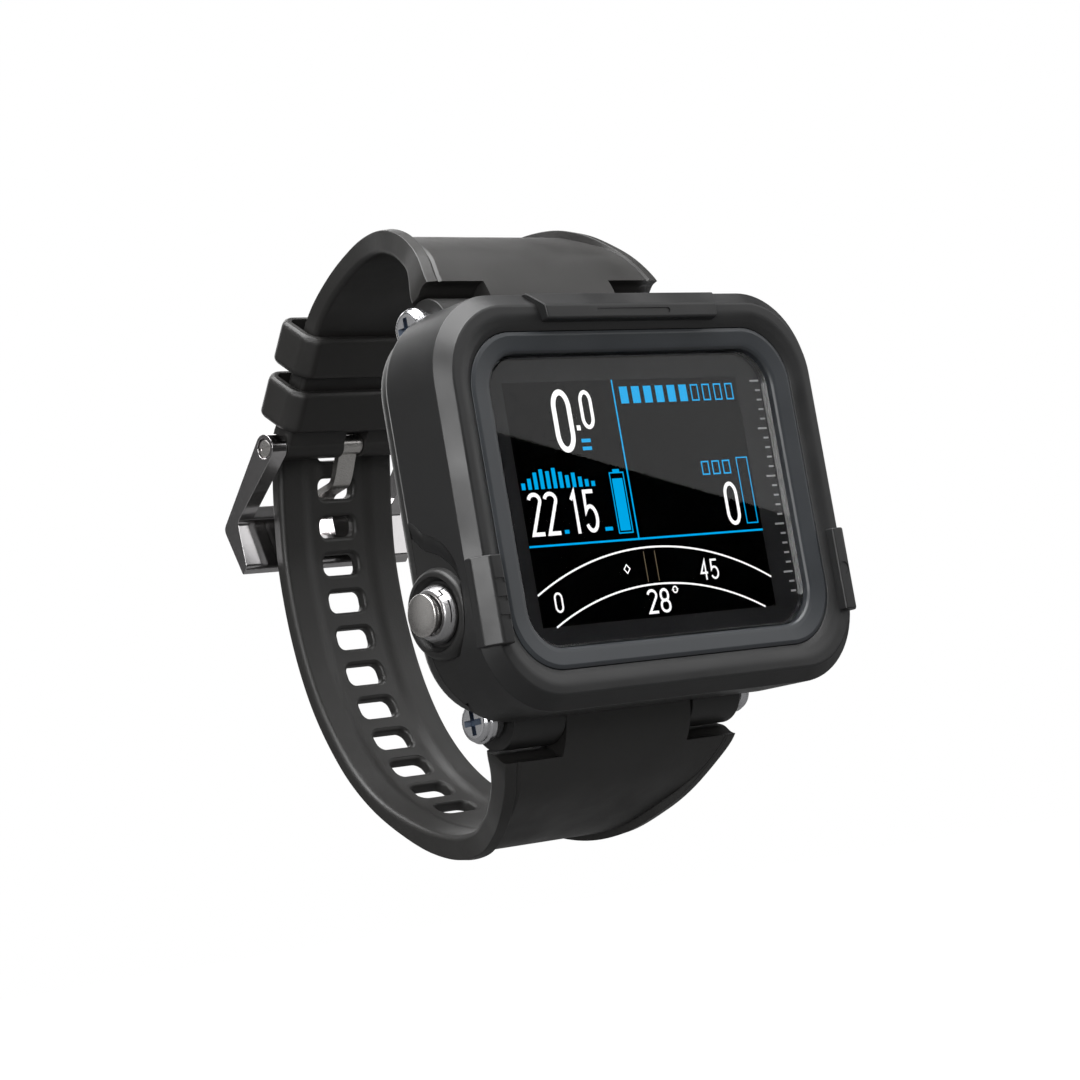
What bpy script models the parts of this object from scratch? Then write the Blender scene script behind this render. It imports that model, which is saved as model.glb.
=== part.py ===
"""Wrist dive computer, modelled upright as worn: the display faces -Y, its top edge faces +Z and
+X is the wearer's right-hand side of the display. The origin is the centre of the flat case back.
Run with: blender --background --python part.py
"""

from math import cos, pi, radians, sin

import bmesh
import bpy
from mathutils import Matrix, Vector

MM = 0.001

# Case and display
GLASS_FRONT = -23.2 * MM
LCD_CENTRE = (-0.9 * MM, -0.35 * MM)
BUMPER_HALF = (35.8 * MM, 28.4 * MM)
BUMPER_CORNER = 12.0 * MM
BUMPER_REAR = -12.3 * MM
CAVITY_FLOOR = -3.0 * MM

# Buttons, one on each side
BUTTON_Y = -15.4 * MM
BUTTON_Z = -13.1 * MM
WAVE_GAP = 0.4 * MM

# Lugs and their pins
LUG_Y = -7.4 * MM
LUG_Z = 27.4 * MM
LUG_RADIUS = 4.3 * MM
LUG_SPAN = (12.3 * MM, 21.8 * MM)
LUG_PIN_RADIUS = 1.6 * MM

# Buckle: the straight stretch of strap under the keepers leaves the pin along STRAIGHT
BUCKLE_PIN = Vector((0, 40.8, 20.8)) * MM
STRAIGHT = Vector((0, -0.6, 0.8))
OUTWARD = Vector((0, 0.8, 0.6))
BUCKLE_HALF_WIDTH = 16.0 * MM
BUCKLE_PIN_RADIUS = 0.8 * MM
TONGUE_WIDTH = 3.4 * MM

# Strap slots
SLOT_PITCH = 6.0 * MM
SLOT_SIZE = (6.6 * MM, 3.2 * MM)

# Electronics inside
CHASSIS_POST = (27.2 * MM, 19.8 * MM)
SENSOR_XZ = (17.0 * MM, -7.5 * MM)

SLOTS = {
    "case_plastic": ((0.030, 0.030, 0.031), 0.45, 0.0),
    "bumper_rubber": ((0.033, 0.033, 0.034), 0.60, 0.0),
    "bezel_grey": ((0.085, 0.092, 0.100), 0.38, 0.0),
    "glass_clear": ((0.010, 0.010, 0.012), 0.04, 0.0),
    "lcd_black": ((0.012, 0.012, 0.014), 0.25, 0.0),
    "strap_silicone": ((0.028, 0.027, 0.026), 0.55, 0.0),
    "steel_satin": ((0.560, 0.540, 0.520), 0.32, 1.0),
    "steel_polished": ((0.620, 0.610, 0.600), 0.12, 1.0),
    "screw_nickel": ((0.700, 0.690, 0.670), 0.22, 1.0),
    "spring_steel": ((0.450, 0.450, 0.450), 0.35, 1.0),
    "seal_rubber": ((0.020, 0.020, 0.020), 0.70, 0.0),
    "chassis_plastic": ((0.070, 0.070, 0.075), 0.55, 0.0),
    "pcb_green": ((0.012, 0.085, 0.045), 0.45, 0.0),
    "battery_wrap": ((0.110, 0.230, 0.420), 0.40, 0.0),
    "copper": ((0.720, 0.360, 0.180), 0.35, 1.0),
    "ferrite": ((0.060, 0.058, 0.060), 0.60, 0.0),
    "flex_amber": ((0.520, 0.250, 0.050), 0.40, 0.0),
}


def clear_scene():
    for obj in list(bpy.data.objects):
        bpy.data.objects.remove(obj, do_unlink=True)


def new_collection(name):
    collection = bpy.data.collections.new(name)
    bpy.context.scene.collection.children.link(collection)
    return collection


clear_scene()
PARTS = new_collection("dive_computer")
CUTTERS = new_collection("cutters")


def make_material(node, slot):
    """Each piece has its own copy of its slot's material."""
    colour, roughness, metallic = SLOTS[slot]
    found = bpy.data.materials.new(f"{node}_{slot}")
    found.use_nodes = True
    shader = found.node_tree.nodes["Principled BSDF"]
    shader.inputs["Base Color"].default_value = (*colour, 1.0)
    shader.inputs["Roughness"].default_value = roughness
    shader.inputs["Metallic"].default_value = metallic
    return found


def add_object(name, data, slot=None):
    """A part when it has a slot, and a cutter when it has none."""
    obj = bpy.data.objects.new(name, data)
    if slot is None:
        CUTTERS.objects.link(obj)
        obj.hide_render = True
        obj.display_type = "WIRE"
    else:
        PARTS.objects.link(obj)
        data.materials.append(make_material(name, slot))
    return obj


def finish_mesh(name, bm, slot=None, smooth_angle=40):
    bmesh.ops.recalc_face_normals(bm, faces=bm.faces)
    mesh = bpy.data.meshes.new(name)
    bm.to_mesh(mesh)
    bm.free()
    mesh.shade_smooth()
    mesh.set_sharp_from_angle(angle=radians(smooth_angle))
    return add_object(name, mesh, slot)


def modify(target, cutter, operation="DIFFERENCE"):
    boolean = target.modifiers.new(cutter.name, "BOOLEAN")
    boolean.operation = operation
    boolean.object = cutter
    boolean.solver = "EXACT"


def add_box(bm, low, high, radius=0.0, axis="Y", segments=4):
    """A box between two corners, its edges along one axis rounded."""
    centre = (Vector(low) + Vector(high)) / 2
    size = Vector(high) - Vector(low)
    place = Matrix.Translation(centre) @ Matrix.Diagonal((*size, 1.0))
    verts = bmesh.ops.create_cube(bm, size=1.0, matrix=place)["verts"]
    if radius:
        along = "XYZ".index(axis)
        edges = [
            edge
            for edge in {e for v in verts for e in v.link_edges}
            if abs((edge.verts[0].co - edge.verts[1].co)[along]) > size[along] / 2
        ]
        bmesh.ops.bevel(bm, geom=edges, offset=radius, segments=segments, affect="EDGES", profile=0.5)


def box(name, slot, low, high, radius=0.0, axis="Y", segments=4):
    bm = bmesh.new()
    add_box(bm, low, high, radius, axis, segments)
    return finish_mesh(name, bm, slot)


AXIS_TURNS = {
    "X": Matrix.Rotation(pi / 2, 4, "Y"),
    "-X": Matrix.Rotation(-pi / 2, 4, "Y"),
    "Y": Matrix.Rotation(-pi / 2, 4, "X"),
    "-Y": Matrix.Rotation(pi / 2, 4, "X"),
}


def add_cylinder(bm, centre, radius, length, axis="X", segments=24, top_radius=None):
    place = Matrix.Translation(Vector(centre)) @ AXIS_TURNS[axis]
    top = radius if top_radius is None else top_radius
    bmesh.ops.create_cone(
        bm, cap_ends=True, segments=segments, radius1=radius, radius2=top, depth=length, matrix=place
    )


def cylinder(name, slot, centre, radius, length, axis="X", segments=24):
    bm = bmesh.new()
    add_cylinder(bm, centre, radius, length, axis, segments)
    return finish_mesh(name, bm, slot)


def turned(name, slot, profile, centre, axis="X", steps=24, ring=False):
    """A profile of (radius, height) pairs, outer side downwards, turned about an axis."""
    mesh = bpy.data.meshes.new(name)
    count = len(profile)
    edges = [(i, i + 1) for i in range(count - 1)]
    if ring:
        edges.append((count - 1, 0))
    mesh.from_pydata([(radius, 0, height) for radius, height in profile], edges, [])
    obj = add_object(name, mesh, slot)
    screw = obj.modifiers.new("turn", "SCREW")
    screw.steps = steps
    screw.render_steps = steps
    screw.use_merge_vertices = True
    screw.merge_threshold = 0.00001
    screw.use_smooth_shade = True
    obj.matrix_world = Matrix.Translation(Vector(centre)) @ AXIS_TURNS[axis]
    return obj


def rounded_rectangle(half_width, half_height, radius, y, corner_steps=6):
    """Points round a rectangle in the XZ plane at depth y."""
    points = []
    for quarter, (sx, sz) in enumerate(((1, 1), (-1, 1), (-1, -1), (1, -1))):
        for i in range(corner_steps + 1):
            angle = pi / 2 * (quarter + i / corner_steps)
            x = sx * (half_width - radius) + radius * cos(angle)
            z = sz * (half_height - radius) + radius * sin(angle)
            points.append(Vector((x, y, z)))
    return points


def loft(name, slot, loops, ring=False, smooth_angle=40):
    """Skins loops of equally many points. A ring joins the last loop to the first; otherwise both ends
    are capped."""
    bm = bmesh.new()
    rows = [[bm.verts.new(point) for point in loop] for loop in loops]
    pairs = list(zip(rows, rows[1:]))
    if ring:
        pairs.append((rows[-1], rows[0]))
    else:
        bm.faces.new(rows[0])
        bm.faces.new(rows[-1])
    count = len(rows[0])
    for first, second in pairs:
        for i in range(count):
            j = (i + 1) % count
            bm.faces.new((first[i], first[j], second[j], second[i]))
    return finish_mesh(name, bm, slot, smooth_angle)


def rounded_loft(name, slot, sections, ring=False):
    """Sections are (y, half width, half height, corner radius) in millimetres."""
    loops = [rounded_rectangle(w * MM, h * MM, r * MM, y * MM) for y, w, h, r in sections]
    return loft(name, slot, loops, ring)


def extrude_outline(name, slot, outline, low, high, axis="X"):
    """A flat outline in the plane square to an axis, extruded between two values on it."""
    bm = bmesh.new()
    place = {"X": lambda a, b, c: (c, a, b), "Z": lambda a, b, c: (a, b, c)}[axis]
    rows = [[bm.verts.new(place(a, b, at)) for a, b in outline] for at in (low, high)]
    bm.faces.new(rows[0])
    bm.faces.new(rows[1])
    for i in range(len(outline)):
        j = (i + 1) % len(outline)
        bm.faces.new((rows[0][i], rows[0][j], rows[1][j], rows[1][i]))
    return finish_mesh(name, bm, slot)


def tube(name, slot, points, radius, cyclic=False, sides=2):
    curve = bpy.data.curves.new(name, "CURVE")
    curve.dimensions = "3D"
    curve.bevel_depth = radius
    curve.bevel_resolution = sides
    curve.use_fill_caps = not cyclic
    spline = curve.splines.new("POLY")
    spline.points.add(len(points) - 1)
    for slot_point, point in zip(spline.points, points):
        slot_point.co = (*point, 1.0)
    spline.use_cyclic_u = cyclic
    return add_object(name, curve, slot)


def helix(centre, axis_step, radius, turns, length, per_turn=12):
    """Points of a coil about an axis parallel to X, starting at centre and running along axis_step."""
    points = []
    for i in range(int(turns * per_turn) + 1):
        angle = 2 * pi * i / per_turn
        along = length * i / (turns * per_turn)
        offset = Vector((axis_step * along, radius * cos(angle), radius * sin(angle)))
        points.append(Vector(centre) + offset)
    return points


def catmull_rom(points, per_span=12):
    """A smooth curve through the points, as closely spaced points."""
    padded = [2 * points[0] - points[1], *points, 2 * points[-1] - points[-2]]
    found = []
    for a, b, c, d in zip(padded, padded[1:], padded[2:], padded[3:]):
        for i in range(per_span):
            t = i / per_span
            square = (2 * a - 5 * b + 4 * c - d) * t**2
            cube = (3 * b - a - 3 * c + d) * t**3
            found.append(0.5 * (2 * b + (c - a) * t + square + cube))
    found.append(points[-1])
    return found


class Path:
    """A planar curve in YZ, walked by distance. Its normal points out of the loop.
    Each point also carries the strap's half width, which the curve keeps in X."""

    def __init__(self, points, side):
        self.points = catmull_rom([Vector(point) * MM for point in points])
        self.side = side
        self.reach = [0.0]
        for a, b in zip(self.points, self.points[1:]):
            self.reach.append(self.reach[-1] + (b - a).yz.length)

    @property
    def length(self):
        return self.reach[-1]

    def at(self, distance):
        index = 1
        while index < len(self.reach) - 1 and self.reach[index] < distance:
            index += 1
        start, end = self.reach[index - 1], self.reach[index]
        fraction = (distance - start) / (end - start)
        a, b = self.points[index - 1], self.points[index]
        here = a.lerp(b, fraction)
        along = Vector((0, *(b - a).yz.normalized()))
        return Vector((0, *here.yz)), along, self.side * Vector((0, along.z, -along.y)), here.x

    def nearest(self, target):
        steps = [self.length * i / 2000 for i in range(2001)]
        return min(steps, key=lambda distance: (self.at(distance)[0] - target).length)


def ease(value, low, high):
    """0 below low, 1 above high, smooth between."""
    t = min(max((value - low) / (high - low), 0.0), 1.0)
    return t * t * (3 - 2 * t)


# ---------------------------------------------------------------------------- case


# The bumper's rear edge waves forwards round each button, as (y, z) in millimetres
WAVE = [
    (-9.0, -1.6),
    (-12.2, -2.4),
    (-14.2, -4.2),
    (-17.4, -5.7),
    (-19.9, -8.1),
    (-21.2, -11.9),
    (-20.5, -16.1),
    (-17.8, -19.9),
    (-16.2, -22.4),
    (-14.9, -24.2),
    (-13.6, -26.2),
    (-9.0, -30.0),
]


def wave_outline(inset):
    """The area inside the wave, its edge moved inwards."""
    line = catmull_rom([Vector((0, y, z)) * MM for y, z in WAVE], 3)
    found = []
    for before, point, after in zip(line, line[1:], line[2:]):
        along = (after - before).normalized()
        found.append((point.y - along.z * inset, point.z + along.y * inset))
    return found


def build_rear_case():
    case = rounded_loft(
        "rear_case",
        "case_plastic",
        [
            (-20.6, 33.4, 26.0, 10.0),
            (-12.05, 33.4, 26.0, 10.0),
            (-12.0, 34.9, 27.0, 12.0),
            (-10.4, 34.4, 26.8, 12.2),
            (-8.0, 32.0, 25.4, 12.0),
            (-4.0, 28.4, 22.6, 11.4),
            (-1.4, 26.1, 20.5, 11.0),
            (0.0, 24.7, 19.3, 10.4),
        ],
    )
    for side in (1, -1):
        axis = "X" if side > 0 else "-X"
        # The wall shows through the bumper's wave, with a raised ring round the button.
        sections = [(-21.4, 34.85, 26.95, 12.0), (-11.9, 34.85, 26.95, 12.0)]
        wall = rounded_loft(f"wall_form_{side}", None, sections)
        ends = sorted((side * 32.8 * MM, side * 36.0 * MM))
        plug = extrude_outline(f"wave_plug_{side}", None, wave_outline(WAVE_GAP), *ends)
        ring = turned(
            f"ring_form_{side}",
            None,
            [
                (0.0, 35.9 * MM),
                (5.4 * MM, 35.9 * MM),
                (5.9 * MM, 35.6 * MM),
                (6.3 * MM, 34.7 * MM),
                (6.3 * MM, 33.0 * MM),
                (0.0, 33.0 * MM),
            ],
            (0, BUTTON_Y, BUTTON_Z),
            axis,
        )
        modify(wall, ring, "UNION")
        modify(wall, plug, "INTERSECT")
        modify(case, wall, "UNION")
        dish = turned(
            f"dish_form_{side}",
            None,
            [
                (0.0, 36.2 * MM),
                (5.2 * MM, 36.2 * MM),
                (4.9 * MM, 35.6 * MM),
                (4.4 * MM, 34.9 * MM),
                (0.0, 34.9 * MM),
            ],
            (0, BUTTON_Y, BUTTON_Z),
            axis,
        )
        modify(case, dish)
    for side in (1, -1):
        for end in (1, -1):
            low, high = LUG_SPAN
            knuckle = cylinder(
                f"knuckle_form_{side}_{end}",
                None,
                (side * (low + high) / 2, LUG_Y, end * LUG_Z),
                LUG_RADIUS,
                high - low,
                segments=20,
            )
            modify(case, knuckle, "UNION")
    hollow = rounded_loft(
        "case_hollow",
        None,
        [
            (-21.5, 31.0, 23.6, 8.0),
            (-12.5, 31.0, 23.6, 8.0),
            (-12.5, 26.5, 20.2, 7.4),
            (CAVITY_FLOOR / MM, 24.6, 18.6, 6.6),
        ],
    )
    modify(case, hollow)
    for end in (1, -1):
        axis_point = (0, LUG_Y, end * LUG_Z)
        width = 2 * LUG_SPAN[0] - 0.05 * MM
        modify(case, cylinder(f"strap_relief_{end}", None, axis_point, 4.4 * MM, width, segments=20))
        modify(case, cylinder(f"lug_bore_{end}", None, axis_point, 1.9 * MM, 50 * MM, segments=14))
        for side in (1, -1):
            place = (side * 25.2 * MM, LUG_Y, end * LUG_Z)
            pocket = cylinder(f"screw_pocket_{side}_{end}", None, place, 3.5 * MM, 6.7 * MM, segments=20)
            modify(case, pocket)
    for side in (1, -1):
        for end in (1, -1):
            x, z = side * CHASSIS_POST[0], end * CHASSIS_POST[1]
            name = f"{side}_{end}"
            post = cylinder(f"post_{name}", None, (x, -14.7 * MM, z), 2.2 * MM, 6.0 * MM, "Y", 10)
            modify(case, post, "UNION")
            pilot = cylinder(f"pilot_{name}", None, (x, -15.5 * MM, z), 1.05 * MM, 8.0 * MM, "Y", 8)
            modify(case, pilot)
    bores = bmesh.new()
    for side in (1, -1):
        add_cylinder(bores, (side * 33.5 * MM, BUTTON_Y, BUTTON_Z), 3.5 * MM, 6.4 * MM, segments=20)
    modify(case, finish_mesh("button_bores", bores))
    port = bmesh.new()
    sensor_x, sensor_z = SENSOR_XZ
    add_cylinder(port, (sensor_x, -2.0 * MM, sensor_z), 4.5 * MM, 6.0 * MM, "Y")
    modify(case, finish_mesh("sensor_port", port))
    recess = cylinder("sensor_recess", None, (sensor_x, -0.2 * MM, sensor_z), 5.9 * MM, 2.0 * MM, "Y")
    modify(case, recess)
    seal_groove = rounded_loft(
        "seal_groove",
        None,
        [
            (-21.0, 32.9, 25.5, 9.6),
            (-19.5, 32.9, 25.5, 9.6),
            (-19.5, 31.6, 24.2, 8.4),
            (-21.0, 31.6, 24.2, 8.4),
        ],
        ring=True,
    )
    modify(case, seal_groove)


def build_bumper():
    width, height = BUMPER_HALF[0] / MM, BUMPER_HALF[1] / MM
    corner = BUMPER_CORNER / MM
    bumper = rounded_loft(
        "bumper",
        "bumper_rubber",
        [
            (BUMPER_REAR / MM, width - 0.5, height - 0.5, corner - 0.4),
            (BUMPER_REAR / MM - 0.7, width - 0.1, height - 0.1, corner),
            (-23.0, width, height, corner),
            (-24.75, width - 1.75, height - 1.75, corner - 1.4),
            (-24.9, width - 2.1, height - 2.1, corner - 1.7),
            (-24.9, 31.9, 24.5, 9.3),
            (-24.6, 31.2, 23.8, 8.9),
            (-24.3, 30.8, 23.4, 8.6),
            (-24.0, 30.5, 23.1, 8.4),
            (-22.9, 30.5, 23.1, 8.4),
            (-22.9, 33.7, 26.3, 10.3),
            (BUMPER_REAR / MM, 33.7, 26.3, 10.3),
        ],
        ring=True,
    )
    # The side pads stand 1.1 mm proud of the rim and its chamfer.
    profile = [(35.75, -22.6), (35.75, -24.1), (33.95, -25.85), (33.6, -26.0), (31.8, -26.0)]
    profile += [(31.5, -24.7), (33.0, -23.6)]
    for side in (1, -1):
        outline = [(side * x * MM, y * MM) for x, y in profile]
        pad = extrude_outline(f"pad_form_{side}", None, outline, -19.0 * MM, -7.1 * MM, "Z")
        modify(bumper, pad, "UNION")
    # The top pad's ends slant outwards to the edge of the case.
    sections = [(28.35, -22.6, 18.0), (28.35, -24.1, 18.0), (26.5, -25.85, 16.6), (26.2, -26.0, 16.4)]
    sections += [(24.4, -26.0, 16.2), (24.1, -24.7, 16.2), (25.6, -23.6, 16.4)]
    loops = [[Vector((sign * x, y, z)) * MM for z, y, x in sections] for sign in (1, -1)]
    modify(bumper, loft("pad_form_top", None, loops), "UNION")
    modify(bumper, extrude_outline("wave_cutter", None, wave_outline(0), -45 * MM, 45 * MM))


def build_front():
    rounded_loft(
        "bezel_ring",
        "bezel_grey",
        [
            (-23.6, 26.9, 20.1, 5.6),
            (-23.9, 27.2, 20.4, 5.9),
            (-24.0, 27.6, 20.8, 6.2),
            (-24.5, 29.9, 22.5, 8.1),
            (-24.3, 30.2, 22.8, 8.4),
            (-22.6, 30.2, 22.8, 8.4),
            (-22.6, 33.3, 25.9, 10.0),
            (-20.9, 33.3, 25.9, 10.0),
            (-20.9, 25.6, 18.9, 4.0),
            (-21.3, 25.6, 18.9, 4.0),
            (-21.3, 26.9, 20.1, 5.6),
        ],
        ring=True,
    )
    rounded_loft(
        "lens_glass",
        "glass_clear",
        [
            (GLASS_FRONT / MM, 26.4, 19.6, 5.1),
            (GLASS_FRONT / MM + 0.2, 26.6, 19.8, 5.3),
            (-22.2, 26.6, 19.8, 5.3),
        ],
    )
    rounded_loft(
        "lens_gasket",
        "seal_rubber",
        [
            (-21.9, 26.5, 19.7, 5.2),
            (-21.6, 26.5, 19.7, 5.2),
            (-21.6, 25.9, 19.1, 4.7),
            (-21.9, 25.9, 19.1, 4.7),
        ],
        ring=True,
    )
    x, z = LCD_CENTRE
    half_x, half_z = 23.4 * MM, 17.4 * MM
    low, high = (x - half_x, -21.9 * MM, z - half_z), (x + half_x, -19.5 * MM, z + half_z)
    box("lcd_module", "lcd_black", low, high, 2.5 * MM)
    tube(
        "case_seal",
        "seal_rubber",
        rounded_rectangle(32.25 * MM, 24.85 * MM, 9.0 * MM, -20.05 * MM, 5),
        0.4 * MM,
        cyclic=True,
        sides=1,
    )


# ---------------------------------------------------------------------------- inside


def block(name, slot, low, high, radius_mm=0.0, axis="Y"):
    """A box from corners in millimetres."""
    return box(name, slot, Vector(low) * MM, Vector(high) * MM, radius_mm * MM, axis)


def build_inside():
    chassis = block("chassis", "chassis_plastic", (-30.5, -19.2, -23.1), (30.5, -18.0, 23.1), 7.6)
    openings = bmesh.new()
    add_box(openings, (-7.5 * MM, -20.0 * MM, 20.2 * MM), (7.5 * MM, -17.0 * MM, 22.0 * MM))
    for side in (1, -1):
        for end in (1, -1):
            place = (side * CHASSIS_POST[0], -18.6 * MM, end * CHASSIS_POST[1])
            add_cylinder(openings, place, 1.1 * MM, 4.0 * MM, "Y", 12)
    modify(chassis, finish_mesh("chassis_openings", openings))
    for index, (side, end) in enumerate(((-1, 1), (1, 1), (1, -1), (-1, -1))):
        turned(
            f"chassis_screw_{index + 1}",
            "screw_nickel",
            [
                (0, 1.0 * MM),
                (1.5 * MM, 1.0 * MM),
                (1.8 * MM, 0.7 * MM),
                (1.8 * MM, 0),
                (0.75 * MM, 0),
                (0.75 * MM, -5 * MM),
                (0, -5 * MM),
            ],
            (side * CHASSIS_POST[0], -19.5 * MM, end * CHASSIS_POST[1]),
            "-Y",
            steps=12,
        )
    pcb = block("main_pcb", "pcb_green", (-24.5, -16.6, -22.0), (24.5, -15.6, 22.0), 1.5)
    chips = bmesh.new()
    for low_x, high_x, low_z, high_z, rise in (
        (-6, 4, -6, 4, 1.2),
        (8, 14, -4, 3, 0.9),
        (-18, -12, 6, 11, 1.4),
        (10, 19, 10, 14, 1.6),
        (-19, -13, -12, -6, 1.0),
    ):
        add_box(chips, (low_x * MM, -16.0 * MM, low_z * MM), (high_x * MM, (-15.6 + rise) * MM, high_z * MM))
    modify(pcb, finish_mesh("chip_forms", chips), "UNION")
    block("battery", "battery_wrap", (-24, -11.8, -12), (9, -6.6, 12), 1.6, "Z")
    turned(
        "charging_coil",
        "copper",
        [(5 * MM, 0.4 * MM), (12 * MM, 0.4 * MM), (12 * MM, -0.4 * MM), (5 * MM, -0.4 * MM)],
        (-7 * MM, -5.0 * MM, 0),
        "Y",
        steps=20,
        ring=True,
    )
    cylinder("vibration_motor", "steel_satin", (17.6 * MM, -8.0 * MM, 6.0 * MM), 4.5 * MM, 2.6 * MM, "Y", 24)
    cylinder("buzzer", "ferrite", (-17.5 * MM, -8.0 * MM, 15.6 * MM), 3.1 * MM, 2.4 * MM, "Y", 20)
    cylinder("antenna_rod", "ferrite", (1 * MM, -8.0 * MM, 16.0 * MM), 1.6 * MM, 26 * MM, "X", 12)
    sensor_x, sensor_z = SENSOR_XZ
    turned(
        "depth_sensor",
        "steel_satin",
        [
            (0, 1.8 * MM),
            (3.3 * MM, 1.8 * MM),
            (3.3 * MM, 0),
            (5.4 * MM, 0),
            (5.4 * MM, -3.2 * MM),
            (0, -3.2 * MM),
        ],
        (sensor_x, -3.3 * MM, sensor_z),
        "Y",
    )
    circle = [2 * pi * i / 16 for i in range(16)]
    tube(
        "sensor_seal",
        "seal_rubber",
        [(sensor_x + 3.9 * MM * cos(a), -2.4 * MM, sensor_z + 3.9 * MM * sin(a)) for a in circle],
        0.4 * MM,
        cyclic=True,
        sides=0,
    )
    cover = turned(
        "sensor_cover",
        "case_plastic",
        [(0, 0.85 * MM), (5.3 * MM, 0.85 * MM), (5.6 * MM, 0.55 * MM), (5.6 * MM, 0), (0, 0)],
        (sensor_x, -0.9 * MM, sensor_z),
        "Y",
        steps=20,
    )
    holes = bmesh.new()
    for i in range(4):
        angle = pi / 2 * i
        place = (sensor_x + 2.2 * MM * cos(angle), -0.5 * MM, sensor_z + 2.2 * MM * sin(angle))
        add_cylinder(holes, place, 0.7 * MM, 3 * MM, "Y", 8)
    modify(cover, finish_mesh("cover_holes", holes))
    ribbon_path = [(18.0, -20.2), (20.5, -20.2), (21.1, -19.7), (21.1, -17.6), (20.6, -17.0), (18.0, -17.0)]
    half_thick = 0.12 * MM
    upper = [(y * MM, z * MM) for z, y in ribbon_path]
    outline = []
    for sign in (1, -1):
        row = []
        for i, (y, z) in enumerate(upper):
            before = Vector(upper[max(i - 1, 0)])
            after = Vector(upper[min(i + 1, len(upper) - 1)])
            along = (after - before).normalized()
            row.append((y - sign * along.y * half_thick, z + sign * along.x * half_thick))
        outline += row if sign > 0 else row[::-1]
    extrude_outline("display_flex", "flex_amber", outline, -6 * MM, 6 * MM)


# ---------------------------------------------------------------------------- buttons


def build_button(name, side):
    """One push button: its parts lie along X, heights counted outwards from the case centre."""
    centre = (0, BUTTON_Y, BUTTON_Z)
    axis = "X" if side > 0 else "-X"

    def heights(profile):
        return [(radius * MM, height * MM) for radius, height in profile]

    turned(
        f"{name}_cap",
        "steel_satin",
        heights(
            [
                (0, 38.3),
                (2.65, 38.3),
                (2.9, 38.05),
                (2.9, 37.6),
                (2.45, 37.6),
                (2.45, 36.6),
                (2.05, 36.6),
                (2.05, 37.6),
                (1.3, 37.6),
                (1.3, 29.8),
                (0, 29.8),
            ]
        ),
        centre,
        axis,
        steps=20,
    )
    turned(
        f"{name}_collar",
        "steel_satin",
        heights(
            [
                (3.2, 36.9),
                (3.35, 36.75),
                (3.9, 35.7),
                (4.0, 35.5),
                (4.0, 35.2),
                (3.2, 35.2),
                (3.2, 32.4),
                (1.6, 32.4),
                (1.6, 33.2),
                (2.2, 33.2),
                (2.2, 34.1),
                (1.6, 34.1),
                (1.6, 35.4),
                (2.75, 35.4),
                (2.75, 36.9),
            ]
        ),
        centre,
        axis,
        steps=20,
        ring=True,
    )
    tube(
        f"{name}_spring",
        "spring_steel",
        helix((side * 35.75 * MM, BUTTON_Y, BUTTON_Z), side, 1.68 * MM, 3.0, 1.5 * MM, 10),
        0.14 * MM,
        sides=0,
    )
    circle = [2 * pi * i / 12 for i in range(12)]
    tube(
        f"{name}_seal",
        "seal_rubber",
        [(side * 33.65 * MM, BUTTON_Y + 1.75 * MM * cos(a), BUTTON_Z + 1.75 * MM * sin(a)) for a in circle],
        0.3 * MM,
        cyclic=True,
        sides=1,
    )
    turned(
        f"{name}_clip",
        "spring_steel",
        heights([(2.5, 32.0), (2.5, 31.6), (1.4, 31.6), (1.4, 32.0)]),
        centre,
        axis,
        steps=20,
        ring=True,
    )
    body = box(
        f"{name}_switch",
        "chassis_plastic",
        (min(side * 24.9, side * 28.2) * MM, BUTTON_Y - 1.9 * MM, BUTTON_Z - 2.1 * MM),
        (max(side * 24.9, side * 28.2) * MM, BUTTON_Y + 1.9 * MM, BUTTON_Z + 2.1 * MM),
    )
    face = (side * 28.2 * MM, BUTTON_Y, BUTTON_Z)
    modify(body, cylinder(f"{name}_plunger_form", None, face, 0.9 * MM, 1.4 * MM, segments=12), "UNION")


# ---------------------------------------------------------------------------- strap

# Each strap's outer face as (half width, y, z) in millimetres, from its lug onwards
UPPER_PATH = [
    (22.1, -11.3, 28.2),
    (22.1, -10.7, 31.2),
    (22.1, -9.3, 34.3),
    (20.9, -7.0, 37.9),
    (19.6, -4.0, 40.8),
    (18.5, -0.3, 43.3),
    (17.4, 4.5, 45.0),
    (16.0, 10.5, 45.3),
    (14.9, 16.5, 44.2),
    (14.0, 22.2, 42.3),
    (13.3, 27.7, 39.4),
    (13.0, 31.64, 35.68),
    (13.0, 36.7, 28.93),
    (13.0, 42.08, 21.76),
]
LOWER_PATH = [
    (22.1, -11.3, -28.2),
    (22.1, -10.5, -31.2),
    (22.1, -8.7, -34.3),
    (20.4, -5.6, -37.6),
    (18.6, -1.6, -40.8),
    (16.9, 2.4, -43.0),
    (14.9, 8.2, -45.0),
    (13.6, 15.0, -45.2),
    (12.6, 22.0, -43.4),
    (11.9, 28.5, -40.2),
    (11.5, 34.6, -36.0),
    (11.2, 39.6, -31.0),
    (11.0, 43.2, -25.6),
    (11.0, 45.8, -19.8),
    (11.0, 47.5, -13.8),
    (11.0, 48.5, -7.6),
    (11.0, 48.9, -1.6),
    (11.0, 48.8, 4.4),
    (11.0, 48.0, 10.4),
    (11.0, 46.8, 16.6),
    (11.0, 44.9, 23.3),
    (11.0, 41.7, 26.9),
    (11.0, 36.6, 33.3),
    (10.2, 31.9, 39.5),
    (8.4, 28.2, 43.0),
    (5.6, 24.3, 45.6),
]


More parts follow.
